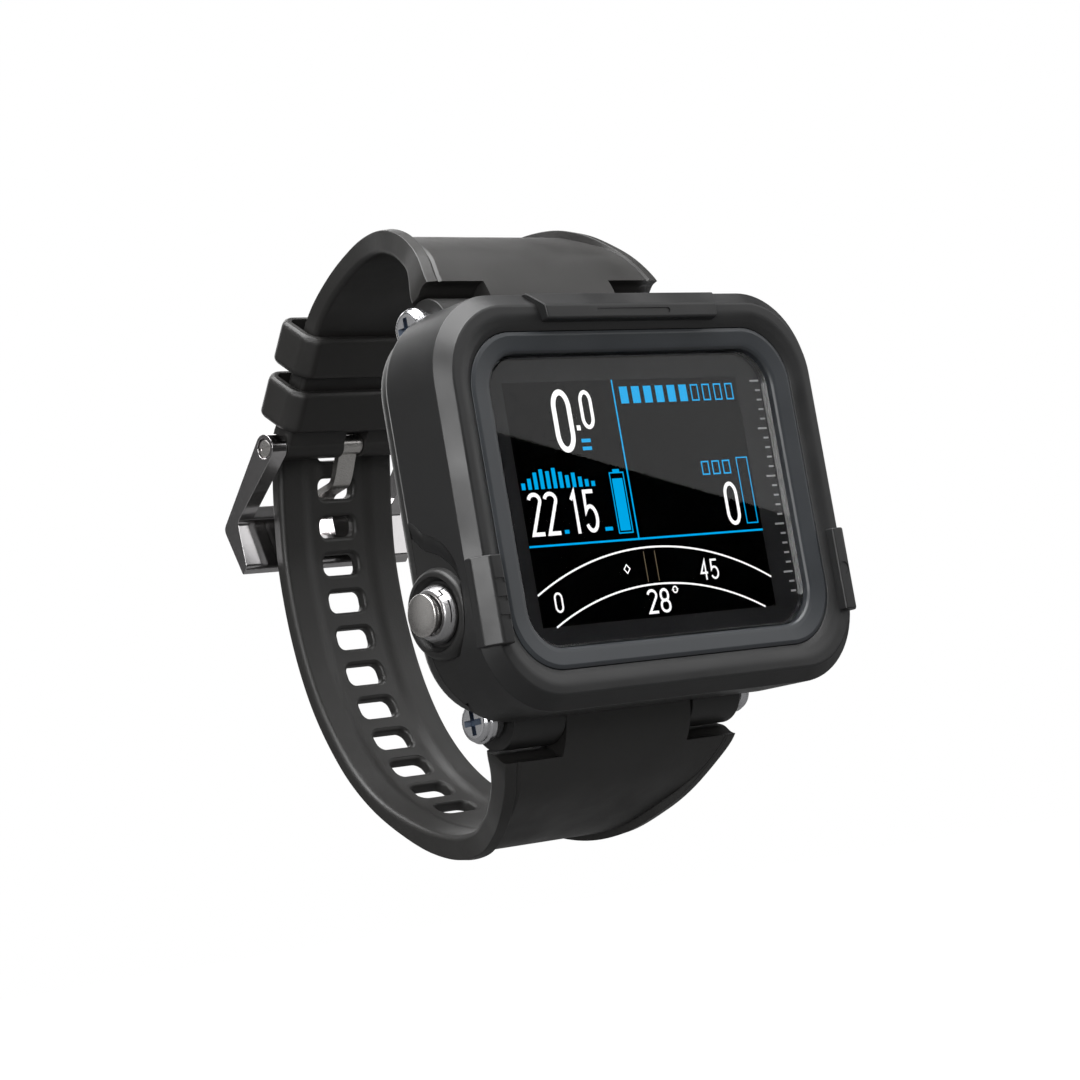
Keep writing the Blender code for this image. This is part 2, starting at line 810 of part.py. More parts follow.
# What the strap loses beside its lug's knuckles, as (y, z) in millimetres at the upper lug
LUG_NOTCH = [
    (-16.0, 35.6),
    (-8.2, 33.4),
    (-6.9, 32.1),
    (-5.4, 31.55),
    (-4.1, 30.6),
    (-3.1, 29.0),
    (-2.8, 27.4),
    (-2.8, 20.0),
    (-16.0, 20.0),
]


def strap_section(path, distance, edge, middle):
    """One section across a strap. The outer face is sunk between two bevelled edge ridges."""
    point, _, normal, half_width = path.at(distance)
    inner = -edge
    sunk = middle - edge
    across = [
        (half_width - 0.5 * MM, inner),
        (half_width, inner + 0.5 * MM),
        (half_width, -0.9 * MM),
        (half_width - 1.7 * MM, 0.0),
        (half_width - 3.3 * MM, sunk),
    ]
    loop = across + [(-x, rise) for x, rise in reversed(across)]
    return [point + Vector((x, 0, 0)) + normal * rise for x, rise in loop]


def build_strap(name, path, sizes, stations):
    """sizes gives (edge thickness, middle thickness) at a distance along the path."""
    loops = []
    for i in range(stations + 1):
        distance = path.length * i / stations
        loops.append(strap_section(path, distance, *sizes(distance)))
    return loft(name, "strap_silicone", loops, smooth_angle=30)


def fit_to_lug(strap, end):
    """The strap wraps its pin between the lug knuckles. Beside them it ends in a slanted face."""
    label = strap.name
    barrel = cylinder(f"{label}_barrel", None, (0, LUG_Y, end * LUG_Z), 4.0 * MM, 23.8 * MM, segments=20)
    low, high = LUG_SPAN[0] - 0.3 * MM, 27 * MM
    for side in (1, -1):
        outline = [(y * MM, end * z * MM) for y, z in LUG_NOTCH]
        ends = sorted((side * low, side * high))
        modify(strap, extrude_outline(f"{label}_notch_{side}", None, outline, *ends))
    modify(strap, barrel, "UNION")
    bore = cylinder(f"{label}_bore", None, (0, LUG_Y, end * LUG_Z), 1.9 * MM, 40 * MM, segments=14)
    modify(strap, bore)


def build_straps():
    upper = Path(UPPER_PATH, -1)
    lower = Path(LOWER_PATH, 1)

    def upper_sizes(distance):
        edge = 5.2 * MM - 1.4 * MM * ease(distance, 4 * MM, 15 * MM)
        edge -= 0.6 * MM * ease(distance, 15 * MM, 45 * MM)
        sunk = 1.1 * MM * ease(distance, 10 * MM, 20 * MM) * (1 - ease(distance, 38 * MM, 50 * MM))
        return edge, edge - sunk

    def lower_sizes(distance):
        tip = ease(distance, lower.length - 9 * MM, lower.length)
        edge = 5.2 * MM - 1.4 * MM * ease(distance, 4 * MM, 15 * MM)
        edge -= 1.5 * MM * ease(distance, 30 * MM, 62 * MM) + 0.2 * MM * tip
        sunk = 1.0 * MM * ease(distance, 10 * MM, 20 * MM) * (1 - ease(distance, 44 * MM, 58 * MM))
        return edge, edge - sunk

    buckle_side = build_strap("strap_buckle_side", upper, upper_sizes, 26)
    fit_to_lug(buckle_side, 1)
    tube_form = cylinder("pin_tube_form", None, BUCKLE_PIN, 1.9 * MM, 25.8 * MM, segments=20)
    modify(buckle_side, tube_form, "UNION")
    notch = bmesh.new()
    low = BUCKLE_PIN - Vector((2.1, 3.0, 4.0)) * MM
    high = BUCKLE_PIN + Vector((2.1, 4.0, 2.4)) * MM
    add_box(notch, low, high)
    modify(buckle_side, finish_mesh("tongue_notch", notch))
    pin_bore = cylinder("buckle_pin_bore", None, BUCKLE_PIN, 1.05 * MM, 40 * MM, segments=16)
    modify(buckle_side, pin_bore)

    hole_side = build_strap("strap_hole_side", lower, lower_sizes, 46)
    fit_to_lug(hole_side, -1)
    in_use = lower.nearest(Vector((0, 47.0, 15.2)) * MM)
    slots = bmesh.new()
    for index in range(-4, 11):
        point, along, normal, _ = lower.at(in_use - index * SLOT_PITCH)
        single = bmesh.new()
        half_x, half_s = SLOT_SIZE[0] / 2, SLOT_SIZE[1] / 2
        add_box(single, (-half_x, -3 * MM, -half_s), (half_x, 3 * MM, half_s), 1.0 * MM, "Y", 2)
        turn = Matrix((Vector((1, 0, 0)), normal, along)).transposed().to_4x4()
        place = Matrix.Translation(point - normal * 1.2 * MM)
        bmesh.ops.transform(single, matrix=place @ turn, verts=single.verts)
        mesh = bpy.data.meshes.new("slot")
        single.to_mesh(mesh)
        single.free()
        slots.from_mesh(mesh)
        bpy.data.meshes.remove(mesh)
    modify(hole_side, finish_mesh("slot_cutters", slots))


def build_lug_pins():
    for label, end in (("upper", 1), ("lower", -1)):
        centre = (0, LUG_Y, end * LUG_Z)
        pin = cylinder(f"lug_pin_{label}", "steel_satin", centre, LUG_PIN_RADIUS, 43.2 * MM, segments=20)
        threads = bmesh.new()
        for side in (1, -1):
            add_cylinder(threads, (side * 20.6 * MM, LUG_Y, end * LUG_Z), 1.1 * MM, 7.0 * MM, segments=12)
        modify(pin, finish_mesh(f"lug_pin_{label}_threads", threads))
        for hand, side in (("left", -1), ("right", 1)):
            screw = turned(
                f"lug_screw_{label}_{hand}",
                "screw_nickel",
                [
                    (0, 25.6 * MM),
                    (2.2 * MM, 25.6 * MM),
                    (2.8 * MM, 25.1 * MM),
                    (3.05 * MM, 24.3 * MM),
                    (3.05 * MM, 23.6 * MM),
                    (2.5 * MM, 23.2 * MM),
                    (2.5 * MM, 22.1 * MM),
                    (0.8 * MM, 22.1 * MM),
                    (0.8 * MM, 18.5 * MM),
                    (0, 18.5 * MM),
                ],
                (0, LUG_Y, end * LUG_Z),
                "X" if side > 0 else "-X",
                steps=16,
            )
            tip = Vector((side * 25.6 * MM, LUG_Y, end * LUG_Z))
            for way, reach in (("flat", (1.3, 1.7, 0.35)), ("upright", (1.3, 0.35, 1.7))):
                half = Vector(reach) * MM
                modify(screw, box(f"cross_{way}_{label}_{hand}", None, tip - half, tip + half))


def build_keepers():
    """Two loops round both strap layers, on the straight stretch above the buckle pin."""
    frame = Matrix((Vector((1, 0, 0)), OUTWARD, STRAIGHT)).transposed().to_4x4()
    place = Matrix.Translation(BUCKLE_PIN) @ frame

    def section(half_x, low, high, cut, along):
        outline = [
            (half_x, low + cut),
            (half_x, high - cut),
            (half_x - cut, high),
            (cut - half_x, high),
            (-half_x, high - cut),
            (-half_x, low + cut),
            (cut - half_x, low),
            (half_x - cut, low),
        ]
        return [place @ (Vector((x, rise, along)) * MM) for x, rise in outline]

    for name, start in (("keeper_fixed", 3.6), ("keeper_free", 12.4)):
        end = start + 6.6
        loops = [
            section(14.6, -2.9, 5.5, 1.6, start),
            section(15.0, -3.3, 5.9, 1.8, start + 0.4),
            section(15.0, -3.3, 5.9, 1.8, end - 0.4),
            section(14.6, -2.9, 5.5, 1.6, end),
            section(13.5, -1.95, 4.75, 0.9, end),
            section(13.5, -1.95, 4.75, 0.9, start),
        ]
        loft(name, "strap_silicone", loops, ring=True, smooth_angle=25)


def build_buckle():
    pin_y, pin_z = BUCKLE_PIN.y, BUCKLE_PIN.z
    arc = []
    for i in range(9):
        angle = radians(52 + 180 * i / 8)
        arc.append((pin_y + 2.1 * MM * cos(angle), pin_z + 2.1 * MM * sin(angle)))
    elbow = [(50.2, 11.3), (49.7, 4.3), (50.9, 3.2), (53.9, 10.9)]
    outline = arc + [(y * MM, z * MM) for y, z in elbow]
    frame = extrude_outline("buckle_frame", "steel_polished", outline, -BUCKLE_HALF_WIDTH, BUCKLE_HALF_WIDTH)
    arm_line = Vector((0, 12.7, -9.9)).normalized()
    across = Vector((0, 9.9, 12.7)).normalized()
    turn = Matrix((Vector((1, 0, 0)), across, -arm_line)).transposed().to_4x4()
    for label, half, near, far in (("window", 13.3, 5.0, -12.4), ("tongue_notch", 2.3, -11.0, -15.6)):
        opening = bmesh.new()
        add_box(opening, Vector((-half, -4, far)) * MM, Vector((half, 6, near)) * MM)
        bmesh.ops.transform(opening, matrix=Matrix.Translation(BUCKLE_PIN) @ turn, verts=opening.verts)
        modify(frame, finish_mesh(f"frame_{label}", opening))
    modify(frame, cylinder("frame_pin_bore", None, BUCKLE_PIN, 1.1 * MM, 40 * MM, segments=16))
    seats = bmesh.new()
    for side in (1, -1):
        add_cylinder(seats, BUCKLE_PIN + Vector((side * 16.0 * MM, 0, 0)), 1.6 * MM, 1.6 * MM, segments=16)
    modify(frame, finish_mesh("frame_screw_seats", seats))

    pin = turned(
        "buckle_pin",
        "steel_satin",
        [
            (0, 15.9 * MM),
            (1.3 * MM, 15.9 * MM),
            (1.3 * MM, 15.4 * MM),
            (BUCKLE_PIN_RADIUS, 15.4 * MM),
            (BUCKLE_PIN_RADIUS, -15.0 * MM),
            (0, -15.0 * MM),
        ],
        BUCKLE_PIN,
        "-X",
        steps=16,
    )
    hole_centre = BUCKLE_PIN + Vector((14, 0, 0)) * MM
    modify(pin, cylinder("buckle_pin_thread", None, hole_centre, 0.5 * MM, 4 * MM, segments=10))
    slot = box(
        "pin_slot",
        None,
        BUCKLE_PIN + Vector((-16.4, -1.6, -0.21)) * MM,
        BUCKLE_PIN + Vector((-15.62, 1.6, 0.21)) * MM,
    )
    modify(pin, slot)
    screw = turned(
        "buckle_pin_screw",
        "steel_satin",
        [
            (0, 15.9 * MM),
            (1.3 * MM, 15.9 * MM),
            (1.3 * MM, 15.4 * MM),
            (0.3 * MM, 15.4 * MM),
            (0.3 * MM, 13.0 * MM),
            (0, 13.0 * MM),
        ],
        BUCKLE_PIN,
        "X",
        steps=16,
    )
    slot = box(
        "screw_slot",
        None,
        BUCKLE_PIN + Vector((15.6, -1.5, -0.2)) * MM,
        BUCKLE_PIN + Vector((16.4, 1.5, 0.2)) * MM,
    )
    modify(screw, slot)

    # The tongue runs inside the tail, turns out through a slot and ends over the frame's notch.
    line = [(40.8, 20.8), (43.3, 16.4), (44.2, 15.3), (47.8, 14.7), (48.8, 14.0), (50.9, 11.4)]
    points = [Vector((y, z)) * MM for y, z in line]
    sides = {1: [], -1: []}
    for i, point in enumerate(points):
        before, after = points[max(i - 1, 0)], points[min(i + 1, len(points) - 1)]
        along = (after - before).normalized()
        for sign, row in sides.items():
            row.append((point.x - sign * along.y * 0.5 * MM, point.y + sign * along.x * 0.5 * MM))
    tongue = extrude_outline(
        "buckle_tongue", "steel_satin", sides[1] + sides[-1][::-1], -TONGUE_WIDTH / 2, TONGUE_WIDTH / 2
    )
    modify(tongue, cylinder("tongue_barrel", None, BUCKLE_PIN, 1.5 * MM, 3.8 * MM, segments=18), "UNION")
    modify(tongue, cylinder("tongue_bore", None, BUCKLE_PIN, 1.05 * MM, 10 * MM, segments=16))


build_rear_case()
build_bumper()
build_front()
build_inside()
build_button("menu_button", -1)
build_button("select_button", 1)
build_straps()
build_lug_pins()
build_keepers()
build_buckle()
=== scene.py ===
"""Looks of the wrist dive computer: camera, lights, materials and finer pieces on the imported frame."""

from math import cos, pi, radians, sin

import bmesh
import bpy
from mathutils import Matrix, Vector


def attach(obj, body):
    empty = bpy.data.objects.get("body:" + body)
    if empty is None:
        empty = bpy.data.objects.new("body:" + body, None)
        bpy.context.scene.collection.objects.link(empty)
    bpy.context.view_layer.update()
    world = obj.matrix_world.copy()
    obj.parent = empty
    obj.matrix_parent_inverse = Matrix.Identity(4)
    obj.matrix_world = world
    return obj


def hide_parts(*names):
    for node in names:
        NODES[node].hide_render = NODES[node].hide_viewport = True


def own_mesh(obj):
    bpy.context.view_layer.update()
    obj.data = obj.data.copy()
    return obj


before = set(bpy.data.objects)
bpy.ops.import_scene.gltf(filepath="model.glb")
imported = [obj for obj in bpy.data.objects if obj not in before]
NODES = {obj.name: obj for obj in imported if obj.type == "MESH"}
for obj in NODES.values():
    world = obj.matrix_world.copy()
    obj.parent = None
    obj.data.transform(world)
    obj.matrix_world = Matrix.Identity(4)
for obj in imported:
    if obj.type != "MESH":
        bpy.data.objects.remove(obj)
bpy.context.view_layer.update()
SCENE = bpy.context.scene
SCENE.view_settings.view_transform = "Standard"
MM = 0.001
GLASS_Y = -23.2
CORNERS = ((1, 1), (-1, 1), (-1, -1), (1, -1))


def placed(name, data):
    """A new object in the scene."""
    obj = bpy.data.objects.new(name, data)
    SCENE.collection.objects.link(obj)
    return obj


# ---------------- camera

CAMERA_PLACE = Vector((-0.3169, -0.3481, -0.0519))
CAMERA_HEADING = 42.22
CAMERA_RISE = 6.06
CAMERA_ROLL = -9.76
LENS_MM = 110.0


def make_camera():
    data = bpy.data.cameras.new("camera")
    data.lens = LENS_MM
    data.sensor_width = 36.0
    data.clip_start = 0.01
    data.clip_end = 50.0
    camera = placed("camera", data)
    heading = Matrix.Rotation(radians(-CAMERA_HEADING), 4, "Z")
    rise = Matrix.Rotation(radians(90 + CAMERA_RISE), 4, "X")
    roll = Matrix.Rotation(radians(CAMERA_ROLL), 4, "Z")
    camera.matrix_world = Matrix.Translation(CAMERA_PLACE) @ (heading @ rise) @ roll
    SCENE.camera = camera


make_camera()

# ---------------- stage and lights

FLOOR_Z = -0.105
FLOOR_HALF = 12.0
FLOOR_SHADE = 0.10
SOFT_BOX_SIZE = (1.6, 0.9)
SOFT_BOX_POWER = 5.5
# Two points of the glass, in mm, where the soft box's lower edge is mirrored, and how far away the box is
MIRRORED_EDGE = ((-22.0, 8.5), (27.0, -4.6))
SOFT_BOX_REACH = 1.1
# The fill light falls off towards this direction, which the lower half of the glass mirrors.
DARK_TOWARDS = Vector((0.69, -0.72, 0.02)).normalized()
DARK_FROM, DARK_TO = 0.55, 0.93
FILL = 0.085


def area_light(name, place, aim, width, height, power):
    data = bpy.data.lights.new(name, "AREA")
    data.shape = "RECTANGLE"
    data.size = width
    data.size_y = height
    data.energy = power
    light = placed(name, data)
    turn = (Vector(aim) - Vector(place)).to_track_quat("-Z", "Y").to_matrix().to_4x4()
    light.matrix_world = Matrix.Translation(place) @ turn
    return light


def glass_reflection(x, z, reach):
    """Where a sight line that meets the glass at (x, z) ends after it is reflected."""
    spot = Vector((x * MM, GLASS_Y * MM, z * MM))
    line = (spot - CAMERA_PLACE).normalized()
    line.y = -line.y
    return spot + line * reach


def make_soft_box():
    """The big soft light whose lower edge shows as a slanting line across the glass."""
    left, right = [glass_reflection(x, z, SOFT_BOX_REACH) for x, z in MIRRORED_EDGE]
    along = (right - left).normalized()
    centre = (left + right) / 2
    facing = (Vector((0, GLASS_Y * MM, 0)) - centre).normalized()
    up = facing.cross(along).normalized()
    if up.z < 0:
        up = -up
    facing = along.cross(up).normalized()
    if facing.y < 0:
        facing = -facing
        along = -along
    light = area_light("soft_box", (0, 0, 0), (0, 0, -1), *SOFT_BOX_SIZE, SOFT_BOX_POWER)
    turn = Matrix((along, up, -facing)).transposed().to_4x4()
    light.matrix_world = Matrix.Translation(centre + up * SOFT_BOX_SIZE[1] / 2) @ turn


def camera_split(tree, unseen, seen):
    """One shader for what the camera sees directly, and another for all other rays."""
    path = tree.nodes.new("ShaderNodeLightPath")
    mix = tree.nodes.new("ShaderNodeMixShader")
    tree.links.new(path.outputs["Is Camera Ray"], mix.inputs[0])
    tree.links.new(unseen.outputs[0], mix.inputs[1])
    tree.links.new(seen.outputs[0], mix.inputs[2])
    return mix.outputs[0]


def make_floor():
    """A pale floor that looks white, and sends only a little light back."""
    bm = bmesh.new()
    bmesh.ops.create_grid(bm, x_segments=2, y_segments=2, size=FLOOR_HALF)
    mesh = bpy.data.meshes.new("floor")
    bm.to_mesh(mesh)
    bm.free()
    floor = placed("floor", mesh)
    floor.location.z = FLOOR_Z
    material = bpy.data.materials.new("floor_pale")
    material.use_nodes = True
    tree = material.node_tree
    shader = tree.nodes["Principled BSDF"]
    shader.inputs["Base Color"].default_value = (FLOOR_SHADE, FLOOR_SHADE, FLOOR_SHADE, 1)
    shader.inputs["Roughness"].default_value = 0.9
    shader.inputs["Specular IOR Level"].default_value = 0.1
    glow = tree.nodes.new("ShaderNodeEmission")
    glow.inputs["Strength"].default_value = 1.0
    both = tree.nodes.new("ShaderNodeAddShader")
    tree.links.new(shader.outputs[0], both.inputs[0])
    tree.links.new(glow.outputs[0], both.inputs[1])
    tree.links.new(camera_split(tree, shader, both), tree.nodes["Material Output"].inputs["Surface"])
    mesh.materials.append(material)


def make_world():
    """White where the camera sees it, and a softer fill elsewhere."""
    world = bpy.data.worlds.new("studio")
    SCENE.world = world
    world.use_nodes = True
    tree = world.node_tree
    tree.nodes.clear()
    output = tree.nodes.new("ShaderNodeOutputWorld")
    seen = tree.nodes.new("ShaderNodeBackground")
    seen.inputs["Color"].default_value = (1, 1, 1, 1)
    seen.inputs["Strength"].default_value = 1.0
    fill = tree.nodes.new("ShaderNodeBackground")
    fill.inputs["Color"].default_value = (1, 1, 1, 1)
    place = tree.nodes.new("ShaderNodeTexCoord")
    dot = tree.nodes.new("ShaderNodeVectorMath")
    dot.operation = "DOT_PRODUCT"
    dot.inputs[1].default_value = DARK_TOWARDS
    fade = tree.nodes.new("ShaderNodeMapRange")
    fade.interpolation_type = "SMOOTHSTEP"
    for key, value in (("From Min", DARK_FROM), ("From Max", DARK_TO), ("To Min", FILL), ("To Max", 0.0)):
        fade.inputs[key].default_value = value
    tree.links.new(place.outputs["Generated"], dot.inputs[0])
    tree.links.new(dot.outputs["Value"], fade.inputs["Value"])
    tree.links.new(fade.outputs["Result"], fill.inputs["Strength"])
    tree.links.new(camera_split(tree, fill, seen), output.inputs["Surface"])


make_floor()
make_world()
make_soft_box()
area_light("key", (-0.93, -0.80, 0.22), (0, 0, 0), 0.62, 0.62, 9.0)
area_light("top", (-0.15, -0.10, 0.95), (0, 0, 0), 1.2, 1.2, 31.0)
area_light("back", (0.55, 1.35, 0.45), (0, 0.02, 0), 1.2, 1.2, 9.0)
area_light("left", (-1.0, 0.75, 0.25), (0, 0, 0), 0.6, 0.9, 0.6)

# ---------------- materials


class Surface:
    """A procedural material: a Principled shader fed by noise in object space."""

    def __init__(self, name, colour, roughness, metallic=0.0):
        self.name = name
        self.material = bpy.data.materials.new(name)
        self.material.use_nodes = True
        self.tree = self.material.node_tree
        self.shader = self.tree.nodes["Principled BSDF"]
        self.shader.inputs["Base Color"].default_value = (*colour, 1)
        self.shader.inputs["Roughness"].default_value = roughness
        self.shader.inputs["Metallic"].default_value = metallic
        self.place = self.tree.nodes.new("ShaderNodeTexCoord").outputs["Object"]

    def node(self, kind, **values):
        found = self.tree.nodes.new(kind)
        for key, value in values.items():
            found.inputs[key.replace("_", " ")].default_value = value
        return found

    def noise(self, size_mm, detail=2.0, roughness=0.5):
        scale = 1.0 / (size_mm * MM)
        noise = self.node("ShaderNodeTexNoise", Scale=scale, Detail=detail, Roughness=roughness)
        self.tree.links.new(self.place, noise.inputs["Vector"])
        return noise.outputs["Fac"]

    def vary_colour(self, value, colour, low, high, socket="Base Color"):
        """Lets a colour drift between two strengths."""
        mix = self.tree.nodes.new("ShaderNodeMix")
        mix.data_type = "RGBA"
        mix.inputs["A"].default_value = (*[c * low for c in colour], 1)
        mix.inputs["B"].default_value = (*[c * high for c in colour], 1)
        self.tree.links.new(value, mix.inputs["Factor"])
        self.tree.links.new(mix.outputs["Result"], self.shader.inputs[socket])

    def vary_roughness(self, value, low, high):
        ramp = self.node("ShaderNodeMapRange", From_Min=0.3, From_Max=0.7, To_Min=low, To_Max=high)
        self.tree.links.new(value, ramp.inputs["Value"])
        self.tree.links.new(ramp.outputs["Result"], self.shader.inputs["Roughness"])

    def bump(self, value, depth_mm):
        bump = self.node("ShaderNodeBump", Strength=1.0, Distance=depth_mm * MM)
        self.tree.links.new(value, bump.inputs["Height"])
        normal = self.shader.inputs["Normal"]
        if normal.is_linked:
            self.tree.links.new(normal.links[0].from_socket, bump.inputs["Normal"])
        self.tree.links.new(bump.outputs["Normal"], normal)


def moulded(name, colour, roughness, grain_mm, depth_mm, spread=0.08, gloss=0.5):
    """Moulded plastic or rubber: fine grain, cloudy gloss and slight colour variation."""
    found = Surface(name, colour, roughness)
    found.shader.inputs["Specular IOR Level"].default_value = gloss
    grain = found.noise(grain_mm, 3.0, 0.6)
    cloud = found.noise(9.0, 3.0)
    found.vary_colour(cloud, colour, 0.86, 1.18)
    found.vary_roughness(cloud, roughness - spread, roughness + spread)
    found.bump(grain, depth_mm)
    return found


def metal(name, colour, roughness, grain_mm=0.12, depth_mm=0.004):
    """Finished metal: a fine grain in its gloss, and a faint cloud in its colour."""
    found = Surface(name, colour, roughness, 1.0)
    grain = found.noise(grain_mm)
    cloud = found.noise(4.0)
    found.vary_colour(cloud, colour, 0.92, 1.06)
    found.vary_roughness(grain, roughness * 0.8, roughness * 1.2)
    found.bump(grain, depth_mm)
    return found


def strap_silicone():
    found = moulded("strap_silicone", (0.0185, 0.0178, 0.0170), 0.46, 0.20, 0.022)
    found.bump(found.noise(0.9), 0.012)
    return found


def glass_clear():
    found = Surface("glass_clear", (1.0, 1.0, 1.0), 0.0)
    found.shader.inputs["Transmission Weight"].default_value = 1.0
    found.shader.inputs["IOR"].default_value = 1.24
    found.vary_roughness(found.noise(14.0), 0.0, 0.012)
    return found


def glowing(name, colour, strength):
    """A lit part of the display."""
    found = Surface(name, (0.0, 0.0, 0.0), 0.5)
    found.shader.inputs["Specular IOR Level"].default_value = 0.0
    found.shader.inputs["Emission Strength"].default_value = strength
    found.vary_colour(found.noise(0.18, 1.0), colour, 0.94, 1.0, "Emission Color")
    return found


SURFACES = (
    moulded("case_plastic", (0.016, 0.0158, 0.0155), 0.42, 0.16, 0.010),
    moulded("bumper_rubber", (0.0138, 0.0138, 0.0141), 0.40, 0.10, 0.006),
    moulded("bezel_grey", (0.028, 0.031, 0.035), 0.38, 0.10, 0.003, 0.03),
    strap_silicone(),
    glass_clear(),
    moulded("lcd_black", (0.0006, 0.0006, 0.0007), 0.35, 0.10, 0.0001, gloss=0.0),
    moulded("mask_black", (0.019, 0.0193, 0.020), 0.5, 0.10, 0.0001, gloss=0.0),
    moulded("print_grey", (0.36, 0.36, 0.36), 0.45, 0.10, 0.001),
    metal("steel_satin", (0.66, 0.64, 0.62), 0.30, 0.10),
    metal("steel_polished", (0.62, 0.605, 0.61), 0.12, 0.30, 0.002),
    metal("steel_turned", (0.52, 0.515, 0.52), 0.33),
    metal("screw_nickel", (0.72, 0.72, 0.74), 0.20, 0.15),
    # A darker bluish steel for the cross recesses of the lug screws: painted shade.
    metal("recess_dark", (0.20, 0.24, 0.31), 0.42, 0.15),
    metal("spring_steel", (0.45, 0.45, 0.45), 0.32),
    moulded("seal_rubber", (0.012, 0.012, 0.012), 0.6, 0.15, 0.006),
    moulded("chassis_plastic", (0.045, 0.045, 0.048), 0.5, 0.2, 0.008),
    moulded("pcb_green", (0.010, 0.080, 0.040), 0.4, 0.3, 0.006),
    moulded("battery_wrap", (0.10, 0.22, 0.40), 0.35, 0.4, 0.004),
    metal("copper", (0.72, 0.36, 0.18), 0.32, 0.3),
    moulded("ferrite", (0.05, 0.05, 0.05), 0.55, 0.15, 0.008),
    moulded("flex_amber", (0.50, 0.24, 0.05), 0.35, 0.3, 0.004),
    glowing("glow_white", (1.0, 1.0, 1.0), 1.15),
    glowing("glow_blue", (0.0, 0.41, 0.85), 1.0),
    glowing("glow_tan", (0.13, 0.105, 0.065), 1.0),
)
MATERIALS = {surface.name: surface.material for surface in SURFACES}

# ---------------- shapes, in millimetres

WELD = 0.002


def soften(points, closed=True, steps=4):
    """Rounds the corners of a line. Each point is (numbers, radius)."""
    found = []
    count = len(points)
    for i, (point, radius) in enumerate(points):
        here = Vector(point)
        if not radius or (not closed and i in (0, count - 1)):
            found.append(here)
            continue
        before, after = Vector(points[i - 1][0]) - here, Vector(points[(i + 1) % count][0]) - here
        reach = min(radius, 0.48 * before.length, 0.48 * after.length)
        start, end = here + before.normalized() * reach, here + after.normalized() * reach
        for k in range(steps + 1):
            t = k / steps
            found.append(start.lerp(here, t).lerp(here.lerp(end, t), t))
    return found


def mesh_object(name, bm):
    """Turns a mesh in millimetres into an object in metres."""
    bmesh.ops.scale(bm, vec=(MM, MM, MM), verts=bm.verts)
    bmesh.ops.recalc_face_normals(bm, faces=bm.faces)
    mesh = bpy.data.meshes.new(name)
    bm.to_mesh(mesh)
    bm.free()
    return placed(name, mesh)


def loft(name, loops, ring=False):
    """Skins loops of equally many points. A ring joins its last loop to its first, else both are capped."""
    bm = bmesh.new()
    rows = [[bm.verts.new(point) for point in loop] for loop in loops]
    pairs = list(zip(rows, rows[1:]))
    if ring:
        pairs.append((rows[-1], rows[0]))
    else:
        bm.faces.new(rows[0])
        bm.faces.new(rows[-1])
    count = len(rows[0])
    for first, second in pairs:
        for i in range(count):
            j = (i + 1) % count
            bm.faces.new((first[i], first[j], second[j], second[i]))
    return mesh_object(name, bm)


def rounded_rectangle(half_width, half_height, radius, steps=14):
    points = []
    for quarter, (sx, sz) in enumerate(CORNERS):
        for i in range(steps + 1):
            angle = pi / 2 * (quarter + i / steps)
            x = sx * (half_width - radius) + radius * cos(angle)
            points.append((x, sz * (half_height - radius) + radius * sin(angle)))
    return points


def rounded_loft(name, sections, ring=False, steps=14):
    """Sections are (y, half width, half height, corner radius, rounding of the profile)."""
    profile = soften([(section[:4], section[4]) for section in sections], closed=ring)
    loops = [[(x, y, z) for x, z in rounded_rectangle(w, h, r, steps)] for y, w, h, r in profile]
    return loft(name, loops, ring)


AXES = {
    "X": lambda a, b, h: (h, a, b),
    "-X": lambda a, b, h: (-h, a, b),
    "Y": lambda a, b, h: (a, h, b),
    "-Y": lambda a, b, h: (a, -h, b),
    "Z": lambda a, b, h: (a, b, h),
}


def turned(name, profile, centre, axis="X", steps=64, ring=False):
    """Turns (radius, height, rounding) points about an axis. Unless a ring, both ends are capped."""
    rows = soften([((radius, height), rounding) for radius, height, rounding in profile], closed=ring)
    loops = []
    for radius, height in rows:
        loop = []
        for i in range(steps):
            angle = 2 * pi * i / steps
            loop.append(Vector(centre) + Vector(AXES[axis](radius * cos(angle), radius * sin(angle), height)))
        loops.append(loop)
    return loft(name, loops, ring)


def cylinder(name, centre, radius, length, axis="X", steps=56, rounding=0.0):
    half = length / 2
    profile = [(radius, -half, rounding), (radius, half, rounding)]
    if rounding:
        profile = [(radius - rounding, -half, 0), *profile, (radius - rounding, half, 0)]
    return turned(name, profile, centre, axis, steps)


def extruded(name, outline, low, high, axis="X"):
    place = AXES[axis]
    return loft(name, [[place(a, b, at) for a, b in outline] for at in (low, high)])


def block(name, low, high):
    bm = bmesh.new()
    centre, size = (Vector(low) + Vector(high)) / 2, Vector(high) - Vector(low)
    bmesh.ops.create_cube(bm, size=1.0, matrix=Matrix.Translation(centre) @ Matrix.Diagonal((*size, 1.0)))
    return mesh_object(name, bm)


def transformed(obj, matrix):
    """Moves a shape's mesh by a matrix whose translation is in millimetres."""
    turn = matrix.copy()
    turn.translation = turn.translation * MM
    obj.data.transform(turn)
    return obj


def fuse(tool):
    return "UNION", tool


def cut(tool):
    return "DIFFERENCE", tool


